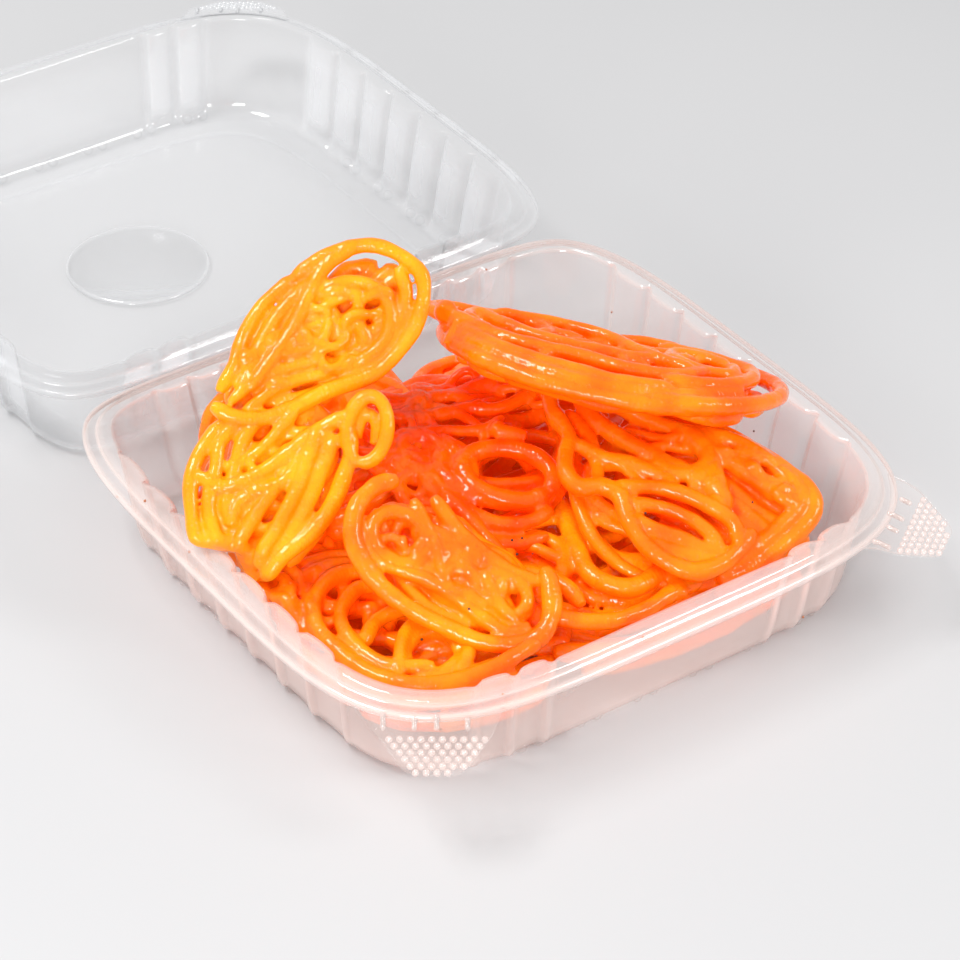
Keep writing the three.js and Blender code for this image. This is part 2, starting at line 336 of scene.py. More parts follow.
def panel_relief():
    """How far the wall stands inwards at each heading, in mm: panels bow, grooves don't."""
    on_side = np.abs(RIM_X) / RIM_HALF > np.abs(RIM_Y) / RIM_FRONT
    relief = np.zeros(len(HEADING))
    groove = np.zeros(len(HEADING))
    for stops, along, where in ((SIDE_GROOVES, RIM_Y, on_side),
                                (END_GROOVES, RIM_X, ~on_side)):
        for low, high in zip(stops[:-1], stops[1:]):
            middle = (along - (low + high) / 2) / ((high - low) / 2)
            bow = np.clip(1 - middle ** 2, 0, 1) ** 0.6
            depth = PANEL_BOW if high - low < 40 else 0.8
            relief = np.where(where, np.maximum(relief, depth * bow), relief)
        for stop in stops:
            groove = np.where(where, np.maximum(groove, groove_profile(along - stop)),
                              groove)
    return relief * (1 - groove) - 1.0 * groove, groove


RELIEF, GROOVE = panel_relief()

# %% [markdown]
# ## The piped strand
#
# A cook holds the bag over hot oil and draws: a rim first, then long runs and small
# loops across it until the middle is closed. So each swirl here is a flat drawing in its own
# plane. u runs along it and v across it, both from -1 to 1 at its edge. A `hatch`, laid to
# and fro, and a `lace` of loops fill the body of the swirl by formula. On top lie the strokes
# that give each swirl its own face: `run` is a smooth line through a few points, `loop` is a
# stretch of an ellipse and `scribble` wanders in small loops as a quick hand does.

# %% Strokes
STRAND = 4.5                 # mm across, where the bag was squeezed evenly
STEP = 0.8                   # mm between points along a strand
WALL_SOFT = 0.12             # the last share of the way to the wall, where strands close up


def run(*points, thick=1.0, lift=1.5):
    """A smooth stroke through (u, v) points, rising to `lift` mm above the plane."""
    stops = np.array(points, float)
    ends = np.vstack([2 * stops[0] - stops[1], stops, 2 * stops[-1] - stops[-2]])
    drawn = []
    for k in range(1, len(ends) - 2):
        before, here, there, after = ends[k - 1:k + 3]
        t = np.linspace(0, 1, 24, endpoint=False)[:, None]
        drawn.append(0.5 * (2 * here + (there - before) * t
                            + (2 * before - 5 * here + 4 * there - after) * t ** 2
                            + (3 * here - before - 3 * there + after) * t ** 3))
    path = np.vstack(drawn + [stops[-1:]])
    return path[:, 0], path[:, 1], lift, thick


def loop(u, v, long, wide, turn=0, begin=0, end=360, thick=1.0, lift=1.5):
    """A stretch of an ellipse about (u, v), between two angles."""
    angle = np.radians(np.linspace(begin, end, max(12, int(abs(end - begin) / 5))))
    turn = math.radians(turn)
    a, b = long * np.cos(angle), wide * np.sin(angle)
    return (u + a * math.cos(turn) - b * math.sin(turn),
            v + a * math.sin(turn) + b * math.cos(turn), lift, thick)


def lace(u, v, long, wide, loops, lift=-2.0, rings=0.0, start=0.4, thick=0.95):
    """Loops of two speeds that close the middle of a swirl, after some turns of its rim."""
    q = np.linspace(0, rings + loops, int(260 * (rings + loops)))
    rim = TURN * q + start
    reach = 1 - 0.17 * np.minimum(q, rings) + 0.03 * np.sin(3 * rim + start)
    past = np.maximum(q - rings, 0)
    ease = np.clip(past / 0.5, 0, 1) if rings else np.ones(len(q))
    ease = ease * ease * (3 - 2 * ease)
    inner = 1 - 0.17 * rings
    slow = TURN * (rings + 0.31 * past) + start
    fast = TURN * (rings + 1.27 * past) + start
    mix = 0.06 * np.sin(2.3 * fast + start)
    a = reach * np.cos(rim)
    b = reach * np.sin(rim)
    a += (inner * ((0.52 + mix) * np.cos(slow) + 0.42 * np.cos(fast)) - a) * ease
    b += (inner * ((0.52 - mix) * np.sin(slow) + 0.42 * np.sin(fast)) - b) * ease
    wave = lift + 1.5 * np.sin(TURN * 1.37 * q + start)
    return u + long * a, v + wide * b, wave, thick


def hatch(u, v, long, wide, turn=0, lift=-4.0, rows=9, thick=1.15, phase=0.0):
    """Strands laid to and fro, close enough to touch, that close an ellipse like a mat."""
    turn = math.radians(turn)
    rails = np.linspace(-0.93, 0.93, rows)
    a, b = [], []
    for k, rail in enumerate(rails):
        half = math.sqrt(1 - rail * rail)
        sweep = np.linspace(-half, half, 40) * (1 if k % 2 else -1)
        a.append(long * sweep)
        b.append(wide * (rail + 0.5 / rows * np.sin(5.0 * sweep + 1.7 * k + phase)))
    a, b = np.concatenate(a), np.concatenate(b)
    wave = lift - 1.4 + 0.9 * np.sin(0.21 * np.arange(len(a)) + phase)
    return (u + a * math.cos(turn) - b * math.sin(turn),
            v + a * math.sin(turn) + b * math.cos(turn), wave, thick)


def scribble(u, v, long, wide, length, seed, lift=0.0, thick=0.75, curl=1.0):
    """A strand that wanders over an ellipse in small loops, drawn from a fixed seed."""
    rng = np.random.default_rng(seed)
    pace, phase = rng.uniform(0.6, 2.6, 4), rng.uniform(0, TURN, 4)
    a, b, heading = (*rng.uniform(-0.5, 0.5, 2), rng.uniform(0, TURN))
    step = 0.03
    drawn = []
    for k in range(int(length / step)):
        bend = 2.6 * curl * np.sin(pace * TURN * 0.6 * k * step + phase).sum()
        out = math.hypot(a, b)
        if out > 0.7:
            back = (math.atan2(-b, -a) - heading + math.pi) % TURN - math.pi
            bend += 22 * (out - 0.7) * back
        heading += bend * step
        a += step * math.cos(heading)
        b += step * math.sin(heading)
        drawn.append((a, b))
    a, b = np.array(drawn).T
    wave = lift + 1.4 * np.sin(TURN * 1.1 * np.arange(len(a)) * step + seed)
    return u + long * a, v + wide * b, wave, thick


# %% [markdown]
# ### The heap
#
# Each swirl has its place, the way it leans (`tilt` from level, `toward` a heading), the turn
# of its long axis, its half sizes in mm, and a slight saddle, `warp`. The tall one is made
# of two swirls that fried together.

# %% Swirls seen from the front
HEAP = {}
HEAP["jalebi_leaning"] = [
    dict(at=(-41, 22, 78), tilt=45, toward=-121, turn=30, long=36, wide=25, warp=2, strokes=[
        hatch(-0.06, 0.12, 0.86, 0.54, turn=14, lift=-3.4, rows=8),
        lace(-0.12, 0.08, 0.74, 0.56, 6.5, lift=-1.4),
        lace(0.10, 0.12, 0.52, 0.52, 4.0, lift=-0.6, start=2.0, thick=0.8),
        run((0.05, 0.87), (0.4, 0.87), (0.74, 0.67), (0.92, 0.19), (0.84, -0.15), (0.59, -0.44),
            (0.2, -0.6), (-0.24, -0.49), (-0.7, -0.42), (-0.97, -0.2), (-1.08, 0.06),
            thick=1.05, lift=2.6),
        run((-0.97, 0.15), (-0.74, 0.34), (-0.56, 0.57), (-0.3, 0.77), (0.05, 0.87)),
        run((-0.85, 0.02), (-0.6, 0.25), (-0.4, 0.45), (-0.15, 0.62), (0.2, 0.72)),
        run((-0.75, 0.0), (-0.35, 0.23), (-0.11, 0.42), (0.09, 0.61), (0.31, 0.78), (0.6, 0.8),
            lift=2.8),
        run((0.8, 0.32), (0.74, 0.0), (0.58, -0.24), (0.35, -0.4), (0.1, -0.42), (-0.1, -0.3)),
        loop(0.2, 0.08, 0.38, 0.47, begin=-110, end=95, lift=2.2, thick=0.9),
        scribble(0.14, 0.12, 0.56, 0.5, 9.0, 5, lift=1.8, thick=0.64),
        scribble(-0.42, 0.1, 0.46, 0.34, 6.0, 8, lift=1.4, thick=0.66),
        loop(-0.0, -0.2, 0.14, 0.15, begin=130, end=320, lift=2.6, thick=0.7),
        run((-0.95, -0.02), (-0.66, 0.05), (-0.4, -0.02), (-0.14, -0.14), thick=0.8, lift=2.2),
        run((-0.9, -0.2), (-0.62, -0.16), (-0.38, -0.2), (-0.1, -0.33), thick=0.8),
        run((-0.5, 0.3), (-0.3, 0.1), (-0.05, 0.05), (0.1, 0.2), thick=0.75, lift=2.6)]),
    dict(at=(-67, 1, 51), tilt=45, toward=-125, turn=40, long=36, wide=27, warp=2, strokes=[
        hatch(-0.2, 0.12, 0.84, 0.58, turn=40, lift=-3.4, rows=8, phase=1.0),
        lace(-0.22, 0.14, 0.66, 0.52, 6.0, lift=-1.6, start=2.4),
        loop(0.72, -0.07, 0.32, 0.18, turn=59, begin=-215, end=150, lift=2.6),
        loop(0.72, -0.07, 0.17, 0.08, turn=59, lift=0.0, begin=-150, end=110, thick=0.8),
        run((0.69, 0.19), (0.37, 0.27), (0.05, 0.28), (-0.22, 0.31), (-0.46, 0.43), (-0.55, 0.7),
            lift=2.4, thick=1.05),
        run((0.5, 0.2), (0.17, 0.14), (-0.08, 0.07), (-0.28, 0.17), (-0.46, 0.18), (-0.62, 0.05),
            lift=2.0),
        run((0.45, 0.3), (0.17, 0.06), (-0.01, -0.09), (-0.21, -0.21), (-0.44, -0.33),
            (-0.69, -0.4), (-0.86, -0.41), lift=3.0, thick=1.08),
        run((0.62, 0.05), (0.5, -0.15), (0.32, -0.31), (0.16, -0.43), (-0.01, -0.51),
            (-0.2, -0.55), (-0.45, -0.55), (-0.69, -0.57), (-0.88, -0.5), lift=2.0, thick=1.1),
        run((0.5, 0.12), (0.39, 0.02), (0.17, -0.14), (-0.02, -0.28), (-0.23, -0.39),
            (-0.46, -0.44), (-0.8, -0.48), lift=1.6),
        run((-0.1, 0.1), (-0.35, 0.0), (-0.6, -0.12), (-0.8, -0.18), (-0.92, -0.3), lift=2.2),
        run((-0.13, 1.0), (-0.4, 0.9), (-0.6, 0.74), (-0.75, 0.5), (-0.88, 0.2), (-0.93, -0.12),
            (-0.89, -0.4), thick=1.05),
        run((0.0, 0.9), (-0.24, 0.84), (-0.41, 0.64), (-0.61, 0.42), (-0.74, 0.14), (-0.8, -0.2),
            lift=2.0),
        run((0.2, 0.8), (-0.1, 0.7), (-0.3, 0.5), (-0.5, 0.3), (-0.6, 0.1), lift=1.4),
        run((0.4, 0.6), (0.1, 0.52), (-0.15, 0.5), (-0.35, 0.6), lift=1.4, thick=0.85),
        run((-0.8, -0.2), (-0.95, -0.1), (-1.06, -0.25), (-1.0, -0.5), lift=1.0),
        scribble(-0.3, 0.1, 0.62, 0.5, 6.0, 12, lift=0.6, thick=0.66)])]
HEAP["jalebi_top"] = [
    dict(at=(37.5, -10, 60.5), tilt=23.3, toward=28.9, turn=-157, long=50, wide=33, warp=1, strokes=[
        hatch(0.04, -0.06, 0.9, 0.78, lift=-4.8, rows=11),
        lace(0.06, -0.1, 0.84, 0.74, 6.0, lift=-2.2, start=3.0),
        scribble(0.0, -0.12, 0.86, 0.66, 12.0, 21, lift=0.6, thick=0.72),
        scribble(0.45, 0.0, 0.5, 0.6, 7.0, 23, lift=1.6, thick=0.75),
        run((-1.0, 0.2), (-0.95, -0.25), (-0.75, -0.62), (-0.4, -0.92), (0.0, -1.02),
            (0.3, -0.98), (0.52, -0.86), (0.66, -0.7), thick=1.15, lift=-2.9),
        run((-0.9, -0.2), (-0.6, -0.62), (-0.2, -0.84), (0.1, -0.92), (0.36, -0.84),
            thick=0.95, lift=1.6),
        run((-0.96, -0.05), (-0.78, -0.5), (-0.35, -0.88), (0.05, -0.97), (0.45, -0.82),
            (0.8, -0.5), thick=0.85, lift=0.2),
        run((0.2, -0.96), (0.55, -0.9), (0.85, -0.62), (1.03, -0.2), (1.02, 0.25), (0.82, 0.64),
            (0.4, 0.84), (-0.05, 0.8), (-0.5, 0.66), thick=1.15, lift=-1.6),
        run((0.3, -0.72), (0.6, -0.62), (0.82, -0.3), (0.84, 0.1), (0.6, 0.4), (0.3, 0.5),
            thick=1.1, lift=2.2),
        run((-0.98, 0.0), (-0.6, -0.42), (-0.2, -0.5), (0.15, -0.66), (0.45, -0.52),
            (0.62, -0.2), thick=1.1, lift=3.0),
        run((-0.85, 0.35), (-0.5, -0.1), (-0.1, -0.25), (0.25, -0.2), (0.5, 0.05), lift=3.4),
        run((0.5, -0.45), (0.2, -0.1), (0.0, 0.3), (-0.3, 0.5), (-0.7, 0.45), lift=4.0),
        loop(0.55, -0.05, 0.17, 0.3, turn=20, lift=3.4),
        loop(-0.62, 0.2, 0.24, 0.3, turn=-20, begin=-60, end=250, lift=2.6),
        loop(-0.84, 0.46, 0.26, 0.28, turn=10, begin=0, end=300, lift=0.6),
        loop(-0.2, 0.45, 0.2, 0.24, begin=-40, end=280, lift=2.6, thick=0.85),
        loop(0.25, 0.5, 0.2, 0.22, lift=2.0, thick=0.85),
        run((-1.02, -0.06), (-1.0, 0.04), (-0.97, 0.1), thick=1.7, lift=3.5),
        run((-0.94, -0.12), (-0.99, -0.4), thick=0.3, lift=(3.5, -3.0))])]
HEAP["jalebi_right"] = [
    dict(at=(42, -48, 42), tilt=20, toward=-115, turn=8, long=43, wide=38, warp=3,
         edge=((-0.34, 0.72), (0.78, -0.77)), strokes=[
        hatch(0.1, 0.0, 0.9, 0.9, lift=-12.0, rows=11, turn=30),
        hatch(0.1, -0.22, 0.85, 0.42, turn=-54, lift=-2.6, rows=8, phase=2.0),
        lace(-0.05, -0.1, 0.86, 0.88, 7.0, lift=-5.5, rings=0.8, start=2.0),
        scribble(0.3, -0.25, 0.4, 0.5, 4.5, 31, lift=1.4, thick=0.8),
        scribble(-0.3, 0.3, 0.5, 0.5, 4.0, 33, lift=0.8, thick=0.75),
        run((-0.78, 1.0), (-0.84, 0.72), (-0.8, 0.46), (-0.87, 0.29), (-0.92, 0.11),
            (-0.87, -0.04), (-0.72, -0.06), (-0.61, -0.18), (-0.62, -0.38), (-0.57, -0.62),
            (-0.44, -0.82), (-0.28, -0.93), (-0.1, -0.92), (0.04, -0.84), (0.2, -0.7),
            lift=2.6, thick=1.2),
        run((-0.66, -0.1), (-0.4, -0.15), (-0.2, -0.26), (-0.02, -0.44), (0.08, -0.62),
            (0.06, -0.8), lift=3.0, thick=1.1),
        run((-0.58, -0.25), (-0.36, -0.34), (-0.2, -0.48), (-0.1, -0.64), (-0.06, -0.82),
            lift=2.4, thick=1.05),
        run((-0.6, -0.35), (-0.46, -0.5), (-0.3, -0.62), (-0.16, -0.76), (0.0, -0.82),
            lift=2.0, thick=1.05),
        run((-0.56, -0.56), (-0.42, -0.68), (-0.26, -0.78), (-0.1, -0.84), lift=1.6),
        run((-0.62, 0.85), (-0.55, 0.55), (-0.4, 0.3), (-0.2, 0.05), (0.0, -0.18), (0.12, -0.42),
            lift=1.4, thick=1.25),
        run((-0.78, 0.4), (-0.62, 0.2), (-0.45, 0.1), (-0.3, -0.05), (-0.2, -0.2), lift=1.8,
            thick=1.15),
        run((-0.74, 0.72), (-0.66, 0.45), (-0.68, 0.15), (-0.74, -0.02), lift=0.8, thick=1.1),
        loop(-0.08, 0.1, 0.19, 0.19, begin=165, end=385, lift=1.8, thick=1.15),
        run((0.2, 0.45), (0.13, 0.2), (0.08, -0.15), (0.05, -0.5), lift=1.0, thick=1.5),
        run((0.36, 0.5), (0.28, 0.2), (0.3, -0.1), (0.44, -0.4), (0.6, -0.5), lift=0.8,
            thick=1.2),
        run((-0.4, 0.75), (-0.1, 0.5), (0.1, 0.42), (0.4, 0.44), (0.7, 0.4), (0.88, 0.1),
            lift=0.4, thick=1.2),
        run((-0.1, 0.9), (0.35, 0.88), (0.72, 0.66), (0.95, 0.3), (1.02, -0.1), (0.95, -0.42),
            (0.7, -0.72), (0.3, -0.92), (-0.1, -1.02), lift=-1.6, thick=1.2),
        run((0.02, -0.9), (0.35, -0.72), (0.66, -0.5), (0.85, -0.2), (0.84, 0.1), lift=-0.4,
            thick=1.1),
        loop(0.55, -0.05, 0.17, 0.22, begin=30, end=330, lift=0.6, thick=1.0)])]
HEAP["jalebi_middle"] = [
    dict(at=(-7, -6, 40), tilt=14, toward=-110, turn=5, long=40, wide=36, warp=3, strokes=[
        hatch(0.0, 0.05, 1.0, 0.95, lift=-16.0, rows=12, turn=20),
        hatch(-0.05, 0.62, 0.8, 0.42, lift=-3.0, rows=6),
        lace(-0.05, 0.1, 0.95, 0.9, 8.0, lift=-5.0, rings=0.6, start=1.0),
        lace(-0.4, 0.15, 0.5, 0.6, 4.0, lift=0.5, start=2.6, thick=0.75),
        scribble(-0.42, 0.25, 0.56, 0.62, 13.0, 41, lift=1.8, thick=0.6, curl=1.2),
        scribble(-0.48, -0.1, 0.34, 0.5, 6.0, 43, lift=2.2, thick=0.6, curl=1.3),
        scribble(0.2, 0.6, 0.7, 0.4, 8.0, 45, lift=1.0, thick=0.66),
        loop(0.13, -0.31, 0.35, 0.25, turn=-39, lift=3.4, thick=1.3, begin=-20, end=350),
        loop(0.1, -0.36, 0.42, 0.4, turn=-39, begin=150, end=345, lift=1.6, thick=1.1),
        loop(0.08, -0.42, 0.5, 0.48, turn=-39, begin=170, end=330, lift=-0.5, thick=1.1),
        run((0.38, 0.0), (0.25, 0.08), (0.18, 0.14), (0.24, 0.2), lift=4.0, thick=1.1),
        run((-0.4, -0.35), (-0.3, -0.58), (-0.2, -0.87), (-0.1, -1.14), (-0.04, -1.31), lift=3.0),
        run((-0.6, 0.9), (-0.35, 0.75), (0.0, 0.7), (0.35, 0.75), (0.8, 0.6), lift=1.0),
        run((-0.55, 0.6), (-0.3, 0.5), (0.05, 0.5), (0.3, 0.42), (0.6, 0.5), lift=1.6),
        run((-0.5, 0.35), (-0.2, 0.3), (0.1, 0.22), (0.3, 0.3), lift=2.2, thick=0.85),
        loop(-0.42, 0.1, 0.16, 0.2, lift=2.6, thick=0.9),
        run((-0.2, 0.2), (-0.16, 0.0), (-0.1, -0.15), (-0.15, -0.35), lift=3.0, thick=0.85),
        run((-0.3, 0.1), (-0.32, -0.15), (-0.2, -0.4), (0.0, -0.55), (0.25, -0.6), lift=2.4),
        loop(-0.5, -0.3, 0.2, 0.22, begin=40, end=330, lift=2.4, thick=0.9)])]
HEAP["jalebi_front"] = [
    dict(at=(-41, -44.5, 36), tilt=38, toward=-118, turn=-38, long=36, wide=21, warp=2, strokes=[
        hatch(-0.02, 0.05, 0.78, 0.62, lift=-4.0, rows=7),
        lace(-0.05, 0.0, 0.74, 0.62, 6.0, lift=-1.8, start=3.0),
        lace(-0.1, 0.02, 0.55, 0.45, 4.0, lift=0.2, start=1.1, thick=0.8),
        run((-0.8, 0.6), (-0.91, 0.36), (-0.95, 0.0), (-0.88, -0.33), (-0.73, -0.57),
            (-0.45, -0.76), (-0.11, -0.8), (0.2, -0.74), (0.46, -0.66), (0.7, -0.45),
            (0.83, -0.17), (0.8, 0.2), (0.68, 0.5), (0.56, 0.7), thick=1.25, lift=3.0),
        run((-0.8, 0.1), (-0.74, -0.3), (-0.57, -0.45), (-0.39, -0.42), (-0.18, -0.33),
            (0.1, -0.31), (0.35, -0.36), (0.6, -0.34), (0.72, -0.1), lift=1.6, thick=1.05),
        loop(-0.53, -0.05, 0.24, 0.33, begin=20, end=380, lift=2.0, thick=1.05),
        scribble(-0.5, 0.0, 0.34, 0.4, 4.5, 51, lift=1.2, thick=0.66),
        scribble(0.1, 0.0, 0.62, 0.5, 6.0, 53, lift=1.2, thick=0.66),
        loop(0.06, -0.08, 0.13, 0.19, lift=1.8, thick=0.9),
        loop(-0.04, 0.2, 0.13, 0.19, lift=1.6, thick=0.9),
        run((-0.62, 0.5), (-0.39, 0.26), (-0.22, 0.08), (-0.1, -0.15), lift=2.4, thick=0.9),
        run((-0.5, 0.7), (-0.2, 0.5), (0.1, 0.42), (0.35, 0.4), (0.6, 0.5), lift=1.6),
        run((0.15, 0.2), (0.3, 0.05), (0.45, -0.1), (0.62, -0.15), lift=2.0, thick=0.9),
        loop(0.4, 0.1, 0.2, 0.25, begin=-30, end=200, lift=1.6, thick=0.9)])]
HEAP["jalebi_corner"] = [
    dict(at=(-48, -35, 23), tilt=4, toward=-135, turn=0, long=40, wide=37, warp=2, strokes=[
        hatch(0.0, -0.05, 1.06, 1.02, lift=-9.0, rows=13, turn=25),
        hatch(-0.4, 0.35, 0.62, 0.5, lift=-2.2, rows=7, turn=-10),
        lace(0.0, 0.15, 0.95, 0.8, 7.5, lift=-5.0, rings=0.5, start=0.6),
        hatch(-0.98, -0.02, 0.42, 0.62, lift=0.5, rows=6, turn=35),
        scribble(-0.9, 0.0, 0.42, 0.6, 6.0, 61, lift=2.4, thick=0.85),
        scribble(-0.35, 0.3, 0.6, 0.5, 7.0, 63, lift=1.0, thick=0.75),
        run((-0.98, 0.2), (-1.04, -0.2), (-0.9, -0.62), (-0.6, -0.92), (-0.2, -1.1),
            (0.25, -1.14), (0.7, -1.06), (1.1, -0.9), lift=-7.0, thick=1.3),
        run((-0.3, 0.2), (-0.59, 0.1), (-0.71, -0.19), (-0.64, -0.59), (-0.39, -0.84),
            (-0.04, -0.97), (0.32, -0.93), (0.66, -0.73), (0.95, -0.4), lift=2.6, thick=1.15),
        run((-0.25, 0.05), (-0.45, -0.05), (-0.5, -0.38), (-0.32, -0.66), (-0.06, -0.8),
            (0.25, -0.75), lift=2.4),
        run((-0.3, -0.62), (-0.24, -0.32), (-0.03, -0.15), (0.25, -0.25), (0.45, -0.5),
            (0.42, -0.82), lift=1.4),
        run((0.02, -0.9), (-0.02, -0.5), (0.1, -0.26), (0.36, -0.22), lift=2.8, thick=0.9),
        loop(0.2, -0.58, 0.19, 0.24, lift=0.8),
        run((-0.95, 0.1), (-0.7, 0.3), (-0.4, 0.4), (-0.1, 0.3), lift=1.6),
        run((-0.9, -0.1), (-0.75, 0.15), (-0.5, 0.25), (-0.2, 0.15), lift=1.8),
        run((-0.98, -0.3), (-0.85, -0.45), (-0.6, -0.5), lift=0.6),
        run((-0.6, -0.8), (-0.3, -1.0), (0.1, -1.06), (0.5, -0.95), (0.85, -0.68), lift=-1.5,
            thick=1.1),
        run((0.1, -1.0), (0.45, -0.8), (0.8, -0.5), (1.0, -0.1), lift=0.4, thick=1.1)])]
HEAP["jalebi_low"] = [
    dict(at=(18, -44, 25), tilt=6, toward=-100, turn=0, long=42, wide=34, warp=2, strokes=[
        hatch(0.1, -0.05, 1.1, 1.04, lift=-8.0, rows=12, turn=-10),
        hatch(-0.35, 0.2, 0.6, 0.6, lift=-2.4, rows=8, turn=60),
        lace(0.05, 0.05, 1.0, 0.95, 8.0, lift=-4.0, rings=0.6, start=1.2),
        scribble(-0.2, -0.1, 0.7, 0.75, 6.0, 71, lift=1.2, thick=0.85),
        run((-0.9, -0.98), (-0.5, -1.12), (0.0, -1.14), (0.5, -1.1), (0.95, -0.98), (1.3, -0.8),
            lift=-5.0, thick=1.4),
        run((-0.7, -1.06), (-0.3, -1.16), (0.3, -1.18), (0.8, -1.08), (1.25, -0.9), lift=-11.0,
            thick=1.3),
        run((-0.98, -0.45), (-0.8, -0.8), (-0.52, -0.96), (-0.22, -0.96), (0.05, -0.86),
            (0.3, -0.8), lift=2.0, thick=1.2),
        run((-0.28, 0.6), (-0.31, 0.4), (-0.38, 0.0), (-0.42, -0.45), (-0.22, -0.7), (0.1, -0.62),
            lift=2.6, thick=1.3),
        run((-0.16, 0.5), (-0.22, 0.1), (-0.2, -0.3), (0.0, -0.45), (0.28, -0.4), lift=2.2,
            thick=1.2),
        run((0.15, -0.2), (0.13, -0.6), (0.1, -0.95), lift=2.4, thick=1.1),
        run((-0.9, -0.2), (-0.65, -0.45), (-0.6, -0.75), lift=2.2, thick=1.1),
        run((-0.9, 0.1), (-0.6, 0.15), (-0.5, -0.1), (-0.62, -0.4), lift=1.8),
        loop(-0.68, -0.1, 0.22, 0.26, lift=1.2),
        run((0.3, -0.7), (0.6, -0.6), (0.85, -0.35), (0.97, 0.0), lift=0.5, thick=1.1)])]

# %% [markdown]
# The four swirls under and behind those show only through gaps, so a rim and its lace do.

# %% Swirls underneath
for name, at, tilt, toward, long, wide, start in (
        ("jalebi_back_right", (38, 28, 21.7), 8, 60, 40, 36, 2.1),
        ("jalebi_back_left", (-38, 32, 34), 12, 180, 40, 34, 2.9),
        ("jalebi_base_left", (-32, -6, 8), 0, 0, 42, 38, 0.3),
        ("jalebi_base_right", (36, -4, 8), 0, 0, 42, 38, 1.5)):
    HEAP[name] = [dict(at=at, tilt=tilt, toward=toward, turn=0, long=long, wide=wide, warp=1,
                       strokes=[hatch(0, 0, 0.98, 0.98, lift=-0.5, rows=14, thick=1.4),
                                lace(0, 0, 1, 1, 7.5, lift=3.0, rings=1.4, start=start)])]
print("swirls:", sum(len(parts) for parts in HEAP.values()))


# %% [markdown]
# The drawing is then laid into space on its plane and walked at an even step. The ends of a
# stroke thin out a little, where the bag was started and lifted.

# %% Laying the strokes
def swirl_axes(swirl):
    tilt, toward, turn = (math.radians(swirl[k]) for k in ("tilt", "toward", "turn"))
    face = np.array([math.sin(tilt) * math.cos(toward), math.sin(tilt) * math.sin(toward),
                     math.cos(tilt)])
    level = np.array([-math.sin(toward), math.cos(toward), 0.0])
    slope = np.cross(face, level)
    long = math.cos(turn) * level + math.sin(turn) * slope
    wide = math.cos(turn) * slope - math.sin(turn) * level
    return long, wide, face


def keep_inside(path, radius):
    """Strands that would pass the wall press against it instead."""
    inset = np.interp(path[:, 2], [0, 9, CREST], [16.5, 14.6, 10.4]) + PANEL_BOW + radius
    heading = np.arctan2(path[:, 1], path[:, 0]) % TURN
    room = np.empty(len(path))
    for k in range(len(path)):
        x, y = ring_xy(heading[k:k + 1], inset[k])
        room[k] = math.hypot(x[0], y[0])
    reach = np.hypot(path[:, 0], path[:, 1])
    # distances close up on the wall, but keep their order
    part = reach / room
    free = 1 - WALL_SOFT
    eased = np.where(part > free,
                     free + WALL_SOFT * (1 - np.exp(-(part - free) / WALL_SOFT)), part)
    low = np.clip((CREST + 4 - path[:, 2]) / 4, 0, 1)
    kept = path.copy()
    kept[:, :2] *= (1 + (eased / np.maximum(part, 1e-6) - 1) * low)[:, None]
    kept[:, 2] = np.maximum(kept[:, 2], radius + 1.6)
    return kept


def lay_stroke(swirl, stroke):
    """Evenly spaced points of a stroke in mm, and its thickness at each."""
    long, wide, face = swirl_axes(swirl)
    u, v, lift, thick = stroke
    if isinstance(lift, tuple):
        lift = np.linspace(*lift, len(u))
    if "edge" in swirl:
        # the swirl ends at this line: what would pass it is drawn along it
        (u0, v0), (u1, v1) = swirl["edge"]
        size = math.hypot(u1 - u0, v1 - v0)
        out = np.array([v0 - v1, u1 - u0]) / size
        past = (u - u0) * out[0] + (v - v0) * out[1]
        back = 0.7 * np.maximum(past + 0.03, 0)
        u, v = u - back * out[0], v - back * out[1]
    rise = swirl["warp"] * (u * u - v * v) + lift
    path = (np.array(swirl["at"], float) + np.outer(u * swirl["long"], long)
            + np.outer(v * swirl["wide"], wide) + np.outer(rise, face))
    length = np.concatenate([[0], np.cumsum(np.linalg.norm(np.diff(path, axis=0), axis=1))])
    stops = np.linspace(0, length[-1], max(3, int(length[-1] / STEP)))
    laid = np.stack([np.interp(stops, length, path[:, axis]) for axis in range(3)], 1)
    laid = keep_inside(laid, thick * STRAND / 2)
    to_end = np.minimum(stops, length[-1] - stops)
    taper = np.clip(0.62 + 0.38 * to_end / 3.0, 0, 1)
    return laid, thick * taper


# %% [markdown]
# Geometry Nodes turn each path into a strand: the mesh line becomes a curve, a circle runs
# along it, and two noises of fixed size make the circle swell and shrink as a hand-squeezed
# bag does. The thickness that the stroke asks for comes in as an attribute.

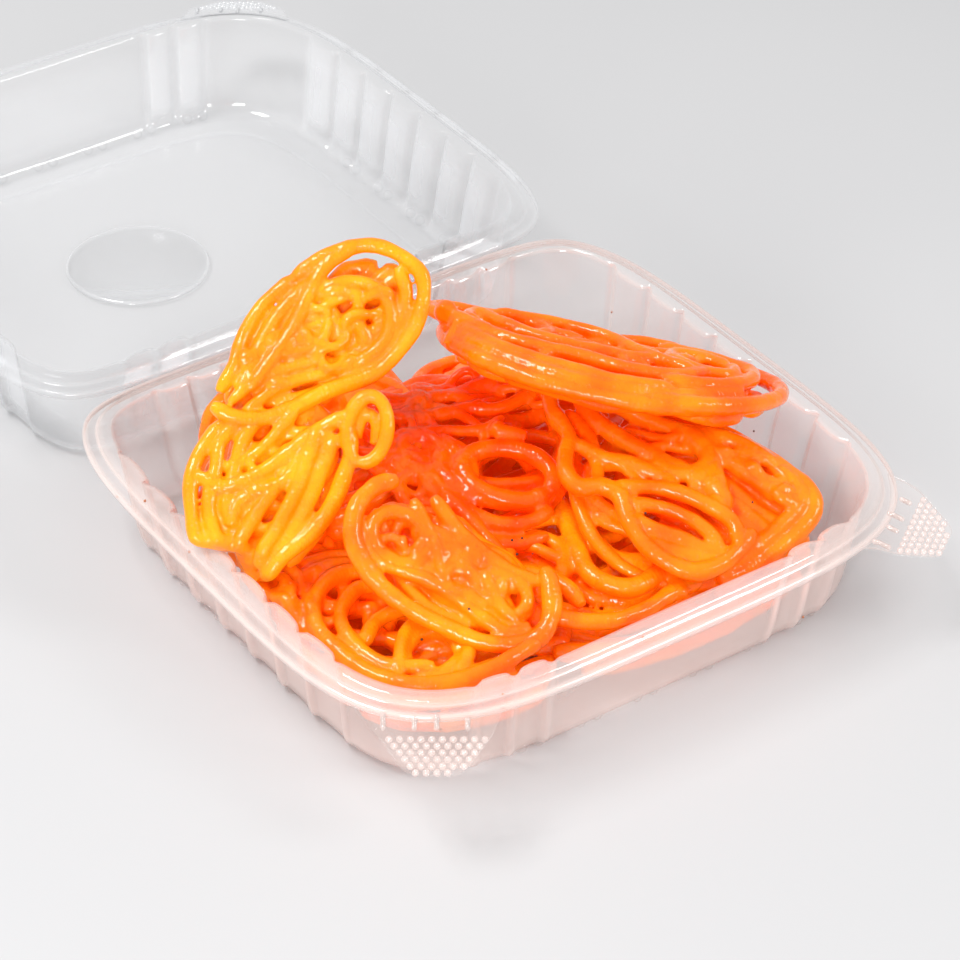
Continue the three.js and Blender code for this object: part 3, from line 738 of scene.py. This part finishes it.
# %% Strand tree
def strand_tree():
    tree, entry = start_tree("piped_strand", Strand_Radius=STRAND / 2 * MM, Sides=14,
                             Swelling=0.4, Lumps=0.3)
    curve = tree.nodes.new("GeometryNodeMeshToCurve")
    circle = tree.nodes.new("GeometryNodeCurvePrimitiveCircle")
    sweep = add_node(tree, "GeometryNodeCurveToMesh", Fill_Caps=True)
    thick = tree.nodes.new("GeometryNodeInputNamedAttribute")
    thick.data_type = "FLOAT"
    set_inputs(thick, Name="thick")

    def uneven(size, amount):
        """1 plus a noise of that size, centred, times the amount."""
        noise = add_node(tree, "ShaderNodeTexNoise", Scale=size, Detail=1.0)
        centred = add_math(tree, "SUBTRACT", 0.5)
        scaled = add_math(tree, "MULTIPLY_ADD", third=1.0)
        link_chain(tree, (noise.outputs["Fac"], centred.inputs[0]),
                   (centred.outputs[0], scaled.inputs[0]), (amount, scaled.inputs[1]))
        return scaled

    swelling = uneven(70.0, entry.outputs["Swelling"])
    lumps = uneven(210.0, entry.outputs["Lumps"])
    both, full = add_math(tree, "MULTIPLY"), add_math(tree, "MULTIPLY")
    link_chain(
        tree,
        (entry.outputs["Geometry"], curve.inputs["Mesh"]),
        (entry.outputs["Sides"], circle.inputs["Resolution"]),
        (entry.outputs["Strand Radius"], circle.inputs["Radius"]),
        (swelling.outputs[0], both.inputs[0]),
        (lumps.outputs[0], both.inputs[1]),
        (both.outputs[0], full.inputs[0]),
        (thick.outputs["Attribute"], full.inputs[1]),
        (curve.outputs["Curve"], sweep.inputs["Curve"]),
        (circle.outputs["Curve"], sweep.inputs["Profile Curve"]),
        (full.outputs[0], sweep.inputs["Scale"]),
    )
    end_tree(tree, entry, sweep.outputs["Mesh"])
    return tree


STRAND_TREE = strand_tree()

# %% [markdown]
# Strands that touch in the pan fry together, and syrup fills the joint. A fine voxel
# remesh joins the crossing strands into one skin, and a little smoothing rounds the
# joints as the syrup does. Afterwards each vertex looks up the nearest point of the path,
# so that the finish knows how far along the strand it is.

# %% Jalebis
FINISH_OF = {"jalebi_leaning": GOLDEN, "jalebi_front": AMBER, "jalebi_corner": AMBER,
             "jalebi_low": AMBER, "jalebi_middle": DEEP, "jalebi_base_left": DEEP,
             "jalebi_base_right": DEEP}
HIDDEN = ("jalebi_back_right", "jalebi_back_left", "jalebi_base_left", "jalebi_base_right")
FINEST = ("jalebi_leaning", "jalebi_front")


def make_jalebi(name, swirls):
    points, edges, along, thick = [], [], [], []
    for swirl in swirls:
        for stroke in swirl["strokes"]:
            path, widths = lay_stroke(swirl, stroke)
            first = len(points)
            points.extend(path)
            edges.extend((first + i, first + i + 1) for i in range(len(path) - 1))
            along.extend(i * STEP for i in range(len(path)))
            thick.extend(widths)
    points = np.array(points)
    piece = new_mesh(name, points, [], edges)
    set_numbers(piece.data, "thick", thick)
    finish = FINISH_OF.get(name, ORANGE)
    add_tree(piece, STRAND_TREE, Strand_Radius=STRAND / 2 * MM, Swelling=0.5, Lumps=0.22,
             Finish=finish)
    fuse = piece.modifiers.new("fuse", "REMESH")
    fuse.mode = "VOXEL"
    voxel = 0.95 if name in HIDDEN else 0.56 if name in FINEST else 0.66
    fuse.voxel_size = voxel * MM
    fuse.use_smooth_shade = True
    rounding = piece.modifiers.new("rounding", "SMOOTH")
    rounding.factor = 0.5
    rounding.iterations = 3
    piece = baked(piece)
    piece.data.materials.clear()
    piece.data.materials.append(finish)
    tree = KDTree(len(points))
    for i, point in enumerate(points):
        tree.insert(point, i)
    tree.balance()
    nearest = [tree.find(point)[1] for point in points_of(piece.data)]
    set_numbers(piece.data, "along", np.array(along)[nearest])
    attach(piece, "tray")
    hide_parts(name)
    print(name, "faces", len(piece.data.polygons), "strand mm", round(len(points) * STEP))


for jalebi_name, jalebi_swirls in HEAP.items():
    make_jalebi(jalebi_name, jalebi_swirls)

# %% [markdown]
# ## Clear thermoformed sheet
#
# The box is half a millimetre of clear plastic. Seen straight on it hardly shows, and
# towards its edges and folds it turns white with the reflected room. A see-through alpha
# that grows with the viewing angle gives that without the noise of refracted light, and
# lets the lamps light the food. Where the sheet was stretched over the mould's upright
# panels it is a little hazy. The mesh carries that haze as a number, and the same number
# also paints light as white on the sheet: highlight lines along the lip and the ridge, a
# glow on the walls beside the heap, and reflections on the lid's panels and grip domes.

# %% Clear finish
def clear_finish(name, dim, bright):
    finish, tree, shader = new_finish(name)
    # haze together with painted light: highlight lines, a glow on the walls, reflections on panels
    # and domes
    haze = tree.nodes.new("ShaderNodeAttribute")
    haze.attribute_name = "haze"
    facing = add_node(tree, "ShaderNodeLayerWeight", Blend=0.5)
    edge = add_math(tree, "POWER", 3.5)
    edge_share = add_math(tree, "MULTIPLY_ADD", 0.5)
    edge_share.use_clamp = True
    place = tree.nodes.new("ShaderNodeTexCoord")
    waviness = add_node(tree, "ShaderNodeTexNoise", Scale=60.0, Detail=2.0)
    bump = add_node(tree, "ShaderNodeBump", Strength=0.25, Distance=0.001)
    tint = add_blend(tree, dim, bright)
    link_chain(
        tree,
        (facing.outputs["Facing"], edge.inputs[0]),
        (edge.outputs[0], edge_share.inputs[0]),
        (haze.outputs["Fac"], edge_share.inputs[2]),
        (edge_share.outputs[0], shader.inputs["Alpha"]),
        (place.outputs["Object"], waviness.inputs["Vector"]),
        (waviness.outputs["Fac"], bump.inputs["Height"]),
        (waviness.outputs["Fac"], tint.inputs["Factor"]),
        (tint.outputs["Result"], shader.inputs["Base Color"]),
        (bump.outputs["Normal"], shader.inputs["Normal"]),
    )
    # above a real plastic's index, because the alpha dims the reflections as well
    set_inputs(shader, Roughness=0.08, IOR=2.6)
    return finish


# the tray's pink tint is painted light, the sweets' glow through its walls; the lid is the same
# sheet
CLEAR_TRAY = clear_finish("clear_sheet_tray", (0.97, 0.77, 0.71), (0.99, 0.86, 0.81))
CLEAR_LID = clear_finish("clear_sheet_lid", (0.88, 0.89, 0.91), (0.93, 0.94, 0.96))

# %% [markdown]
# ## The box
#
# The stations below run from the turned-down lip over the flange and the snap ridge, down
# the wall, round the heel and over the low step of the floor.

# %% Box stations
# (inset from the rim, height, share of the panel relief, haze and painted light)
# the bright lines at the lip and on the snap ridge are painted highlights
INSIDE = [
    (0.25, RIM_LEVEL - 2.2, 0, 0.16), (0.0, RIM_LEVEL - 1.2, 0, 0.30),
    (0.15, RIM_LEVEL - 0.4, 0, 0.50), (0.7, RIM_LEVEL, 0, 0.34),
    (2.2, RIM_LEVEL + 0.1, 0, 0.07), (3.7, RIM_LEVEL, 0, 0.07),
    (4.3, RIM_LEVEL + 0.3, 0, 0.36), (4.9, RIM_LEVEL + 1.6, 0, 0.10),
    (5.5, CREST - 0.3, 0, 0.13), (6.2, CREST, 0, 0.08),
    (7.6, CREST + 0.1, 0.1, 0.06), (8.8, CREST - 0.1, 0.6, 0.10),
    (9.4, CREST - 0.7, 1, 0.26), (9.8, CREST - 2.0, 1, 0.08),
    (10.9, CREST - 9.0, 1, 0.07), (12.3, CREST - 18.0, 1, 0.07),
    (13.6, 9.0, 0.95, 0.08), (14.4, 5.0, 0.8, 0.10),
    (15.4, 2.3, 0.45, 0.14), (17.2, 0.9, 0.12, 0.12),
    (19.5, 0.55, 0, 0.04), (25.5, 0.55, 0, 0.03),
    (27.0, 1.0, 0, 0.10), (28.5, 1.35, 0, 0.04),
    (40.0, 1.35, 0, 0.02), (60.0, 1.35, 0, 0.02), (80.0, 1.35, 0, 0.02)]


# %% Box rings
def wall_rings(stations, turned_in=0.0):
    """Rings of points for those stations, set off by the sheet's thickness for the back."""
    rings, haze = [], []
    for k, (inset, height, share, haze_and_light_level) in enumerate(stations):
        before = stations[max(k - 1, 0)]
        after = stations[min(k + 1, len(stations) - 1)]
        slant = np.array([after[0] - before[0], after[1] - before[1]])
        across = np.array([slant[1], -slant[0]]) / np.linalg.norm(slant)
        shift = across * turned_in
        x, y = ring_xy(HEADING, max(inset + shift[0], 0.0))
        outward = np.stack([x, y], 1)
        outward /= np.linalg.norm(outward, axis=1)[:, None]
        moved = np.stack([x, y], 1) - outward * (RELIEF * share)[:, None]
        rings.append(np.column_stack([moved, np.full(len(x), height + shift[1])]))
        panel = np.clip(RELIEF / PANEL_BOW, 0, 1) * share
        haze.append(haze_and_light_level + 0.05 * panel + 0.10 * GROOVE * share * (share > 0.3))
    return rings, haze


def shell_mesh():
    """One closed skin: the face, the back at the sheet's thickness, and the lip between."""
    front, front_haze_and_light = wall_rings(INSIDE)
    back, back_haze_and_light = wall_rings(INSIDE, SHEET)
    rings = front + back[::-1]
    haze = np.concatenate(front_haze_and_light + back_haze_and_light[::-1])
    points = np.concatenate(rings)
    count, deep = len(HEADING), len(front)
    faces = []

    def band(a, b):
        for i in range(count):
            j = (i + 1) % count
            faces.append((a * count + i, a * count + j, b * count + j, b * count + i))

    for k in range(len(rings) - 1):
        if k != deep - 1:
            band(k, k + 1)
    band(len(rings) - 1, 0)
    faces.append([(deep - 1) * count + i for i in range(count)])
    faces.append([deep * count + i for i in reversed(range(count))])
    return points, faces, haze


tray_points, tray_faces, tray_haze_and_light = shell_mesh()
print("box rings:", 2 * len(INSIDE), "points:", len(tray_points))

# %% [markdown]
# The lid is pressed in the same way and folds on the straight edge, so it is the same mesh
# mirrored in the hinge. A mirror turns faces inside out: their order is reversed.

# %% Tray and lid
PANEL_HAZE_AND_GLARE = 0.20           # how much whiter the lid's panels are: haze where it was drawn thin, and painted reflections of the lamps
PAINTED_WALL_GLOW = 0.26                  # painted glow: how much whiter the walls that the heap leans on are made, as if lit through the sweets


def painted_wall_glow(points):
    """Painted glow by place: strongest on the two walls by the low side of the heap."""
    heading = np.degrees(np.arctan2(points[:, 1], points[:, 0]))
    share = np.interp(heading, [-180, -44, -30, 80, 120, 180], [1, 1, 0.06, 0.0, 0.15, 1])
    height = np.interp(points[:, 2], [0.9, 1.5, 4, CREST - 9, 32, 35, CREST - 2, CREST],
                       [0, 0.3, 1, 0.9, 0.12, 0.12, 0.6, 0.2])
    middle = np.maximum(np.abs(points[:, 0]) / RIM_HALF, np.abs(points[:, 1]) / RIM_FRONT)
    return PAINTED_WALL_GLOW * share * height * np.interp(middle, [0.6, 0.7], [0, 1])


def make_shell(name, node, finish, mirrored):
    points, faces, haze = tray_points.copy(), tray_faces, tray_haze_and_light
    if mirrored:
        points = folded(points)
        faces = [tuple(reversed(face)) for face in faces]
        on_wall = (points[:, 2] > 6) & (points[:, 2] < CREST - 2)
        bowed = np.tile(np.clip(RELIEF / PANEL_BOW, 0, 1), len(points) // len(RELIEF))
        rim = points[:, 2] > RIM_LEVEL - 3
        haze = np.where(rim, 0.3 * haze, haze) + PANEL_HAZE_AND_GLARE * on_wall * bowed
    else:
        haze = haze + painted_wall_glow(points)
    piece = new_mesh(name, points, [tuple(face) for face in faces])
    set_numbers(piece.data, "haze", haze)
    piece.data.materials.append(finish)
    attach(piece, node)
    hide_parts(node)


make_shell("tray_shell", "tray", CLEAR_TRAY, False)
make_shell("lid_shell", "lid", CLEAR_LID, True)

# %% [markdown]
# ## Opening tabs
#
# Two corners of each half end in a tab to pull: a smooth neck, then a pad that is wide at
# its shoulder and narrow at its tip, set with little domes for grip. The pad is a rounded
# outline with thickness. The domes repeat, so Geometry Nodes put one ball on each point of
# a staggered grid, half sunk in the pad, and the same tree makes the knobs under the heel.

# %% Ball tree
def balls_on(tree, entry, points, radius):
    """Ends a tree with a ball of random size on each of those points."""
    ball = add_node(tree, "GeometryNodeMeshIcoSphere", Subdivisions=2)
    smooth = tree.nodes.new("GeometryNodeSetShadeSmooth")
    size = tree.nodes.new("FunctionNodeRandomValue")
    size.data_type = "FLOAT"
    size.inputs[3].default_value = 1.0
    spread = tree.nodes.new("GeometryNodeInstanceOnPoints")
    link_chain(
        tree,
        (radius, ball.inputs["Radius"]),
        (ball.outputs["Mesh"], smooth.inputs["Geometry"]),
        (entry.outputs["Least Size"], size.inputs[2]),
        (entry.outputs["Seed"], size.inputs["Seed"]),
        (points, spread.inputs["Points"]),
        (smooth.outputs["Geometry"], spread.inputs["Instance"]),
        (size.outputs[1], spread.inputs["Scale"]),
    )
    end_tree(tree, entry, spread.outputs["Instances"])


def ball_tree():
    tree, entry = start_tree("set_balls", Ball_Radius=MM, Least_Size=1.0, Seed=7)
    balls_on(tree, entry, entry.outputs["Geometry"], entry.outputs["Ball Radius"])
    return tree


BALL_TREE = ball_tree()


def set_balls(name, points, radius, finish, haze):
    piece = new_mesh(name, points, [])
    add_tree(piece, BALL_TREE, Ball_Radius=radius * MM, Finish=finish)
    piece = baked(piece)
    set_numbers(piece.data, "haze", np.full(len(piece.data.vertices), haze))
    return piece


# %% Tabs
TAB_LENGTH, TAB_TIP = 18.0, 15.0
TAB_NECK, TAB_SHOULDER = 5.0, 32.0
TAB_ROOT, TAB_OVERLAP = 39.0, 2.0
TAB_DROOP = math.radians(18)
TAB_ROUND = 3.0              # radius at the tip's corners
TAB_PLACE, TAB_OUT = math.radians(-48.5), math.radians(-55.5)   # where it sits, where it points
DOT_PITCH, DOT_ROW = 2.9, 2.1


def tab_place(side, mirrored):
    """Turns (out, across, up) in mm, from a tab's root on the rim, into the frame."""
    x, y = ring_xy(np.array([TAB_PLACE % TURN]), 0.0)
    out = np.array([side * math.cos(TAB_OUT), math.sin(TAB_OUT), 0])
    across = np.array([-out[1], out[0], 0])
    down = out * math.cos(TAB_DROOP) - np.array([0, 0, math.sin(TAB_DROOP)])
    up = out * math.sin(TAB_DROOP) + np.array([0, 0, math.cos(TAB_DROOP)])

    def place(local):
        local = np.asarray(local, float)
        # under the flange the plate runs level, and droops only past the rim
        level = np.minimum(local[:, 0], 0)
        spots = (np.array([side * x[0], y[0], RIM_LEVEL - SHEET])
                 + np.outer(local[:, 0], down) + np.outer(local[:, 1], across)
                 + np.outer(local[:, 2], up))
        spots[:, 2] += level * math.sin(TAB_DROOP)
        return folded(spots) if mirrored else spots
    return place


def tab_half(out):
    """Half the tab's width at that distance from the rim."""
    return np.interp(out, [-TAB_OVERLAP, TAB_NECK, TAB_LENGTH],
                     [TAB_ROOT / 2, TAB_SHOULDER / 2, TAB_TIP / 2])


def tab_plate(place, mirrored):
    outs = np.concatenate([np.linspace(-TAB_OVERLAP, TAB_LENGTH - TAB_ROUND, 16),
                           TAB_LENGTH - TAB_ROUND
                           + TAB_ROUND * np.sin(np.linspace(0.15, math.pi / 2, 8))])
    shares = np.linspace(-1, 1, 25)
    top = []
    for out in outs:
        short = math.sqrt(max(0, 1 - max(0, (out - TAB_LENGTH + TAB_ROUND) / TAB_ROUND) ** 2))
        half = tab_half(out) - TAB_ROUND * (1 - short)
        bead = 0.35 * np.exp(-((out - TAB_NECK + 1.0) / 0.9) ** 2)
        edge = 0.3 * np.clip((np.abs(shares) - 0.93) / 0.07, 0, 1)
        # the root follows the rim as it curves away to either side
        root = np.clip((TAB_NECK - out) / (TAB_NECK + TAB_OVERLAP), 0, 1)
        for share, rise in zip(shares, edge):
            top.append((out - root * (half * share) ** 2 / 75, half * share, bead + rise))
    top = np.array(top)
    low = top - np.array([0, 0, SHEET])
    wide, count = len(shares), len(top)
    faces = []
    for i in range(len(outs) - 1):
        for j in range(wide - 1):
            a, b = i * wide + j, i * wide + j + 1
            faces.append((a, a + wide, b + wide, b))
            faces.append((count + a, count + b, count + b + wide, count + a + wide))
    rim = ([i * wide for i in range(len(outs))]
           + [(len(outs) - 1) * wide + j for j in range(1, wide)]
           + [i * wide + wide - 1 for i in range(len(outs) - 2, -1, -1)]
           + [j for j in range(wide - 2, 0, -1)])
    for a, b in zip(rim, rim[1:] + rim[:1]):
        faces.append((a, b, count + b, count + a))
    return place(np.vstack([top, low])), [face[::-1] for face in faces] if mirrored else faces


RIBS = ((-14.0, -1.5), (-5.5, 0.5), (0.6, -1.0), (9.0, 0.5))    # across, start, in mm
DOT_RADIUS, DOT_SUNK, RIB_RADIUS = 1.05, 0.42, 0.8
# the grip domes and ribs are whitened with painted glints, so that they show as bright points
PLATE_HAZE, DOT_HAZE_AND_GLINT, KNOB_HAZE = 0.05, 0.34, 0.06


def make_tab(name, body, finish, side, mirrored):
    place = tab_place(side, mirrored)
    points, faces = tab_plate(place, mirrored)
    plate = new_mesh(name + "_tab", points, faces)
    set_numbers(plate.data, "haze", np.full(len(points), PLATE_HAZE))
    plate.data.materials.append(finish)
    dots = []
    for row, out in enumerate(np.arange(TAB_NECK + 1.4, TAB_LENGTH - 0.8, DOT_ROW)):
        half = tab_half(out) - 1.2 - max(0, (out - TAB_LENGTH + TAB_ROUND)) * 0.5
        shift = 0.25 if row % 2 else -0.25
        count = int(half / DOT_PITCH) + 1
        for k in range(-count, count + 1):
            across = (k + shift) * DOT_PITCH
            if abs(across) <= half:
                dots.append((out, across, -DOT_SUNK))
    grip = set_balls(name + "_grip_dots", place(dots), DOT_RADIUS, finish, DOT_HAZE_AND_GLINT)
    ribs = [(out, across, 0.0) for across, start in RIBS for out in np.arange(start, 3.4, 0.5)]
    root = set_balls(name + "_root_ribs", place(ribs), RIB_RADIUS, finish, DOT_HAZE_AND_GLINT)
    for piece in (plate, grip, root):
        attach(piece, body)
    print(name, "dots", len(dots))


for label, side in (("left", -1), ("right", 1)):
    make_tab("tray_" + label, "tray", CLEAR_TRAY, side, False)
    make_tab("lid_" + label, "lid", CLEAR_LID, side, True)

# %% [markdown]
# ## Knobs and disc
#
# Pairs of small knobs along the heel stiffen the floor, and keep boxes from sticking when
# they are nested. The lid has a flat round boss with a soft step, where a label would go: it
# is a profile turned about its own axis.

# %% Knobs
KNOB_RADIUS = 1.8
KNOB_PITCH, KNOB_APART, KNOB_SHIFT = 20.2, 2.9, -3.2
KNOB_INSET = 16.6


def heel_knobs(mirrored):
    x, y = ring_xy(HEADING, KNOB_INSET)
    front, left, right = y < -60, (x < -60) & (y < HINGE_Y - 30), (x > 60) & (y < HINGE_Y - 30)
    spots = []
    for step in range(-2, 4):
        for apart in (-KNOB_APART, KNOB_APART):
            along = step * KNOB_PITCH + KNOB_SHIFT + apart
            spots.append((along, np.interp(along, x[front], y[front])))
            if -2 < step < 3:
                for wall in (left, right):
                    order = np.argsort(y[wall])
                    spots.append((np.interp(along, y[wall][order], x[wall][order]), along))
    spots = np.array([(*spot, KNOB_RADIUS + 0.1) for spot in spots])
    return folded(spots) if mirrored else spots


for body, slot, finish, mirrored in (("tray", "clear_tray", CLEAR_TRAY, False),
                                     ("lid", "clear_lid", CLEAR_LID, True)):
    knobs = set_balls(body + "_heel_knobs", heel_knobs(mirrored), KNOB_RADIUS, finish,
                      KNOB_HAZE)
    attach(knobs, body)

# %% Lid disc
DISC_RADIUS = 24.4
DISC_MIDDLE = (-9.0, 192.5)
DISC_RISE = 0.9
DISC_LEVEL = 1.35            # the step of the floor that it stands on
DISC_STEPS = 96


def make_disc():
    profile = [(0.01, DISC_RISE, 0.03), (8, DISC_RISE, 0.03), (16, DISC_RISE, 0.03),
               (DISC_RADIUS - 1.2, DISC_RISE, 0.03), (DISC_RADIUS - 0.7, DISC_RISE - 0.05, 0.2),
               (DISC_RADIUS - 0.25, DISC_RISE / 2, 0.24), (DISC_RADIUS, 0.05, 0.1),
               (DISC_RADIUS, -0.3, 0.02), (0.01, -0.3, 0.02)]
    points, faces, haze = [], [], []
    for radius, rise, haze_and_light_level in profile:
        for k in range(DISC_STEPS):
            angle = TURN * k / DISC_STEPS
            points.append((DISC_MIDDLE[0] + radius * math.cos(angle),
                           DISC_MIDDLE[1] + radius * math.sin(angle), DISC_LEVEL + rise))
            haze.append(haze_and_light_level)
    for ring in range(len(profile) - 1):
        for k in range(DISC_STEPS):
            a, b = ring * DISC_STEPS + k, ring * DISC_STEPS + (k + 1) % DISC_STEPS
            faces.append((a, a + DISC_STEPS, b + DISC_STEPS, b))
    faces.append(list(range(DISC_STEPS)))
    faces.append([(len(profile) - 1) * DISC_STEPS + k for k in reversed(range(DISC_STEPS))])
    disc = new_mesh("lid_disc", points, faces)
    set_numbers(disc.data, "haze", haze)
    disc.data.materials.append(CLEAR_LID)
    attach(disc, "lid")


make_disc()

# %% [markdown]
# ## Spots of syrup and frying specks
#
# Syrup spatters the tray as the sweets go in, and the oil leaves a few dark specks on them.
# Points are scattered over a copy of each surface with a fixed seed, each gets a little
# ball of random size, and the balls are made real.

# %% Scatter tree
def scatter_tree():
    tree, entry = start_tree("scatter_spots", Density=500.0, Largest_Radius=0.7 * MM,
                             Least_Size=0.35, Seed=3)
    strew = tree.nodes.new("GeometryNodeDistributePointsOnFaces")
    link_chain(
        tree,
        (entry.outputs["Geometry"], strew.inputs["Mesh"]),
        (entry.outputs["Density"], strew.inputs["Density"]),
        (entry.outputs["Seed"], strew.inputs["Seed"]),
    )
    balls_on(tree, entry, strew.outputs["Points"], entry.outputs["Largest Radius"])
    return tree


SCATTER_TREE = scatter_tree()


def spot_finish(name, dark, light, roughness):
    finish, tree, shader = new_finish(name)
    place = tree.nodes.new("ShaderNodeTexCoord")
    mottle = add_node(tree, "ShaderNodeTexNoise", Scale=900.0)
    mix = add_blend(tree, dark, light)
    link_chain(tree, (place.outputs["Object"], mottle.inputs["Vector"]),
               (mottle.outputs["Fac"], mix.inputs["Factor"]),
               (mix.outputs["Result"], shader.inputs["Base Color"]))
    set_inputs(shader, Roughness=roughness)
    return finish


def scatter(name, over, density, radius, finish, seed):
    source = bpy.data.objects[over]
    piece = bpy.data.objects.new(name, source.data.copy())
    scene.collection.objects.link(piece)
    add_tree(piece, SCATTER_TREE, Density=density, Largest_Radius=radius * MM, Seed=seed,
             Finish=finish)
    piece = baked(piece)
    piece.data.materials.clear()
    piece.data.materials.append(finish)
    # a spot under the tray is pressed flat where it meets the table
    vertices = piece.data.vertices
    places = np.empty(3 * len(vertices))
    vertices.foreach_get("co", places)
    places[2::3] = np.maximum(places[2::3], 0.0)
    vertices.foreach_set("co", places)
    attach(piece, "tray")
    print(name, "faces", len(piece.data.polygons))


SYRUP_SPOT = spot_finish("syrup_spot", (0.35, 0.10, 0.05), (0.62, 0.25, 0.10), 0.1)
FRY_SPECK = spot_finish("fry_speck", (0.05, 0.012, 0.006), (0.12, 0.03, 0.01), 0.4)
scatter("tray_syrup_spots", "tray_shell", 350.0, 0.45, SYRUP_SPOT, 3)
for number, over in enumerate(("jalebi_middle", "jalebi_right", "jalebi_front")):
    scatter(over + "_specks", over, 900.0, 0.42, FRY_SPECK, 11 + number)

# %% [markdown]
# ## Table, light and camera
#
# A white table in a bright room: a broad lamp above and behind, which draws the long pale
# highlights on the syrup, a low one at the front left, a fill at the front right, a small
# one for sharp glints, and a pale world for the rest.

# %% Stage
TABLE_HALF = 1500            # mm


def make_floor():
    corners = [(x * TABLE_HALF, y * TABLE_HALF, -0.05)
               for x, y in ((-1, -1), (1, -1), (1, 1), (-1, 1))]
    floor = new_mesh("table_top", corners, [(0, 1, 2, 3)])
    finish, tree, shader = new_finish("table_white")
    place = tree.nodes.new("ShaderNodeTexCoord")
    speckle = add_node(tree, "ShaderNodeTexNoise", Scale=4.0)
    mix = add_blend(tree, (0.55, 0.55, 0.56), (0.58, 0.58, 0.585))
    link_chain(tree, (place.outputs["Object"], speckle.inputs["Vector"]),
               (speckle.outputs["Fac"], mix.inputs["Factor"]),
               (mix.outputs["Result"], shader.inputs["Base Color"]))
    set_inputs(shader, Roughness=0.5)
    floor.data.materials.append(finish)


def add_lamp(name, place, aim, size, power):
    data = bpy.data.lights.new(name, "AREA")
    data.shape = "RECTANGLE"
    data.size, data.size_y = size
    data.energy = power
    lamp = bpy.data.objects.new(name, data)
    lamp.location = place
    lamp.rotation_euler = (Vector(aim) - Vector(place)).to_track_quat("-Z", "Y").to_euler()
    scene.collection.objects.link(lamp)


make_floor()
add_lamp("window", (-0.6, 0.3, 1.3), (0, 0, 0.05), (0.5, 0.36), 12.0)
add_lamp("side", (-0.85, -0.85, 0.5), (0, 0, 0.03), (0.4, 0.3), 8.0)
add_lamp("fill", (0.65, -0.85, 0.85), (0, 0, 0.03), (0.4, 0.4), 5.5)
add_lamp("glint", (-0.35, 0.55, 1.2), (0, 0, 0.05), (0.09, 0.07), 1.4)
world = bpy.data.worlds.new("room")
world.use_nodes = True
set_inputs(world.node_tree.nodes["Background"], Color=(1.0, 1.0, 1.0, 1), Strength=0.55)
scene.world = world
scene.view_settings.view_transform = "Standard"

# %% Camera
CAMERA_HEADING = math.radians(-35.36)
CAMERA_RISE = math.radians(36.52)
CAMERA_ROLL = math.radians(0.71)
CAMERA_REACH = 1.0428
AIM = Vector((-0.0091, -0.0101, 0.0347))


def make_camera():
    back = Vector((math.sin(CAMERA_HEADING) * math.cos(CAMERA_RISE),
                   -math.cos(CAMERA_HEADING) * math.cos(CAMERA_RISE),
                   math.sin(CAMERA_RISE)))
    right = Vector((0, 0, 1)).cross(back).normalized()
    up = back.cross(right)
    axes = Matrix((right, up, back)).transposed()
    axes = axes @ Matrix.Rotation(CAMERA_ROLL, 3, "Z")
    data = bpy.data.cameras.new("camera")
    data.sensor_width = 36.0
    data.lens = 131.9
    data.clip_start = 0.05
    camera = bpy.data.objects.new("camera", data)
    camera.matrix_world = Matrix.Translation(AIM + back * CAMERA_REACH) @ axes.to_4x4()
    scene.collection.objects.link(camera)
    scene.camera = camera


make_camera()
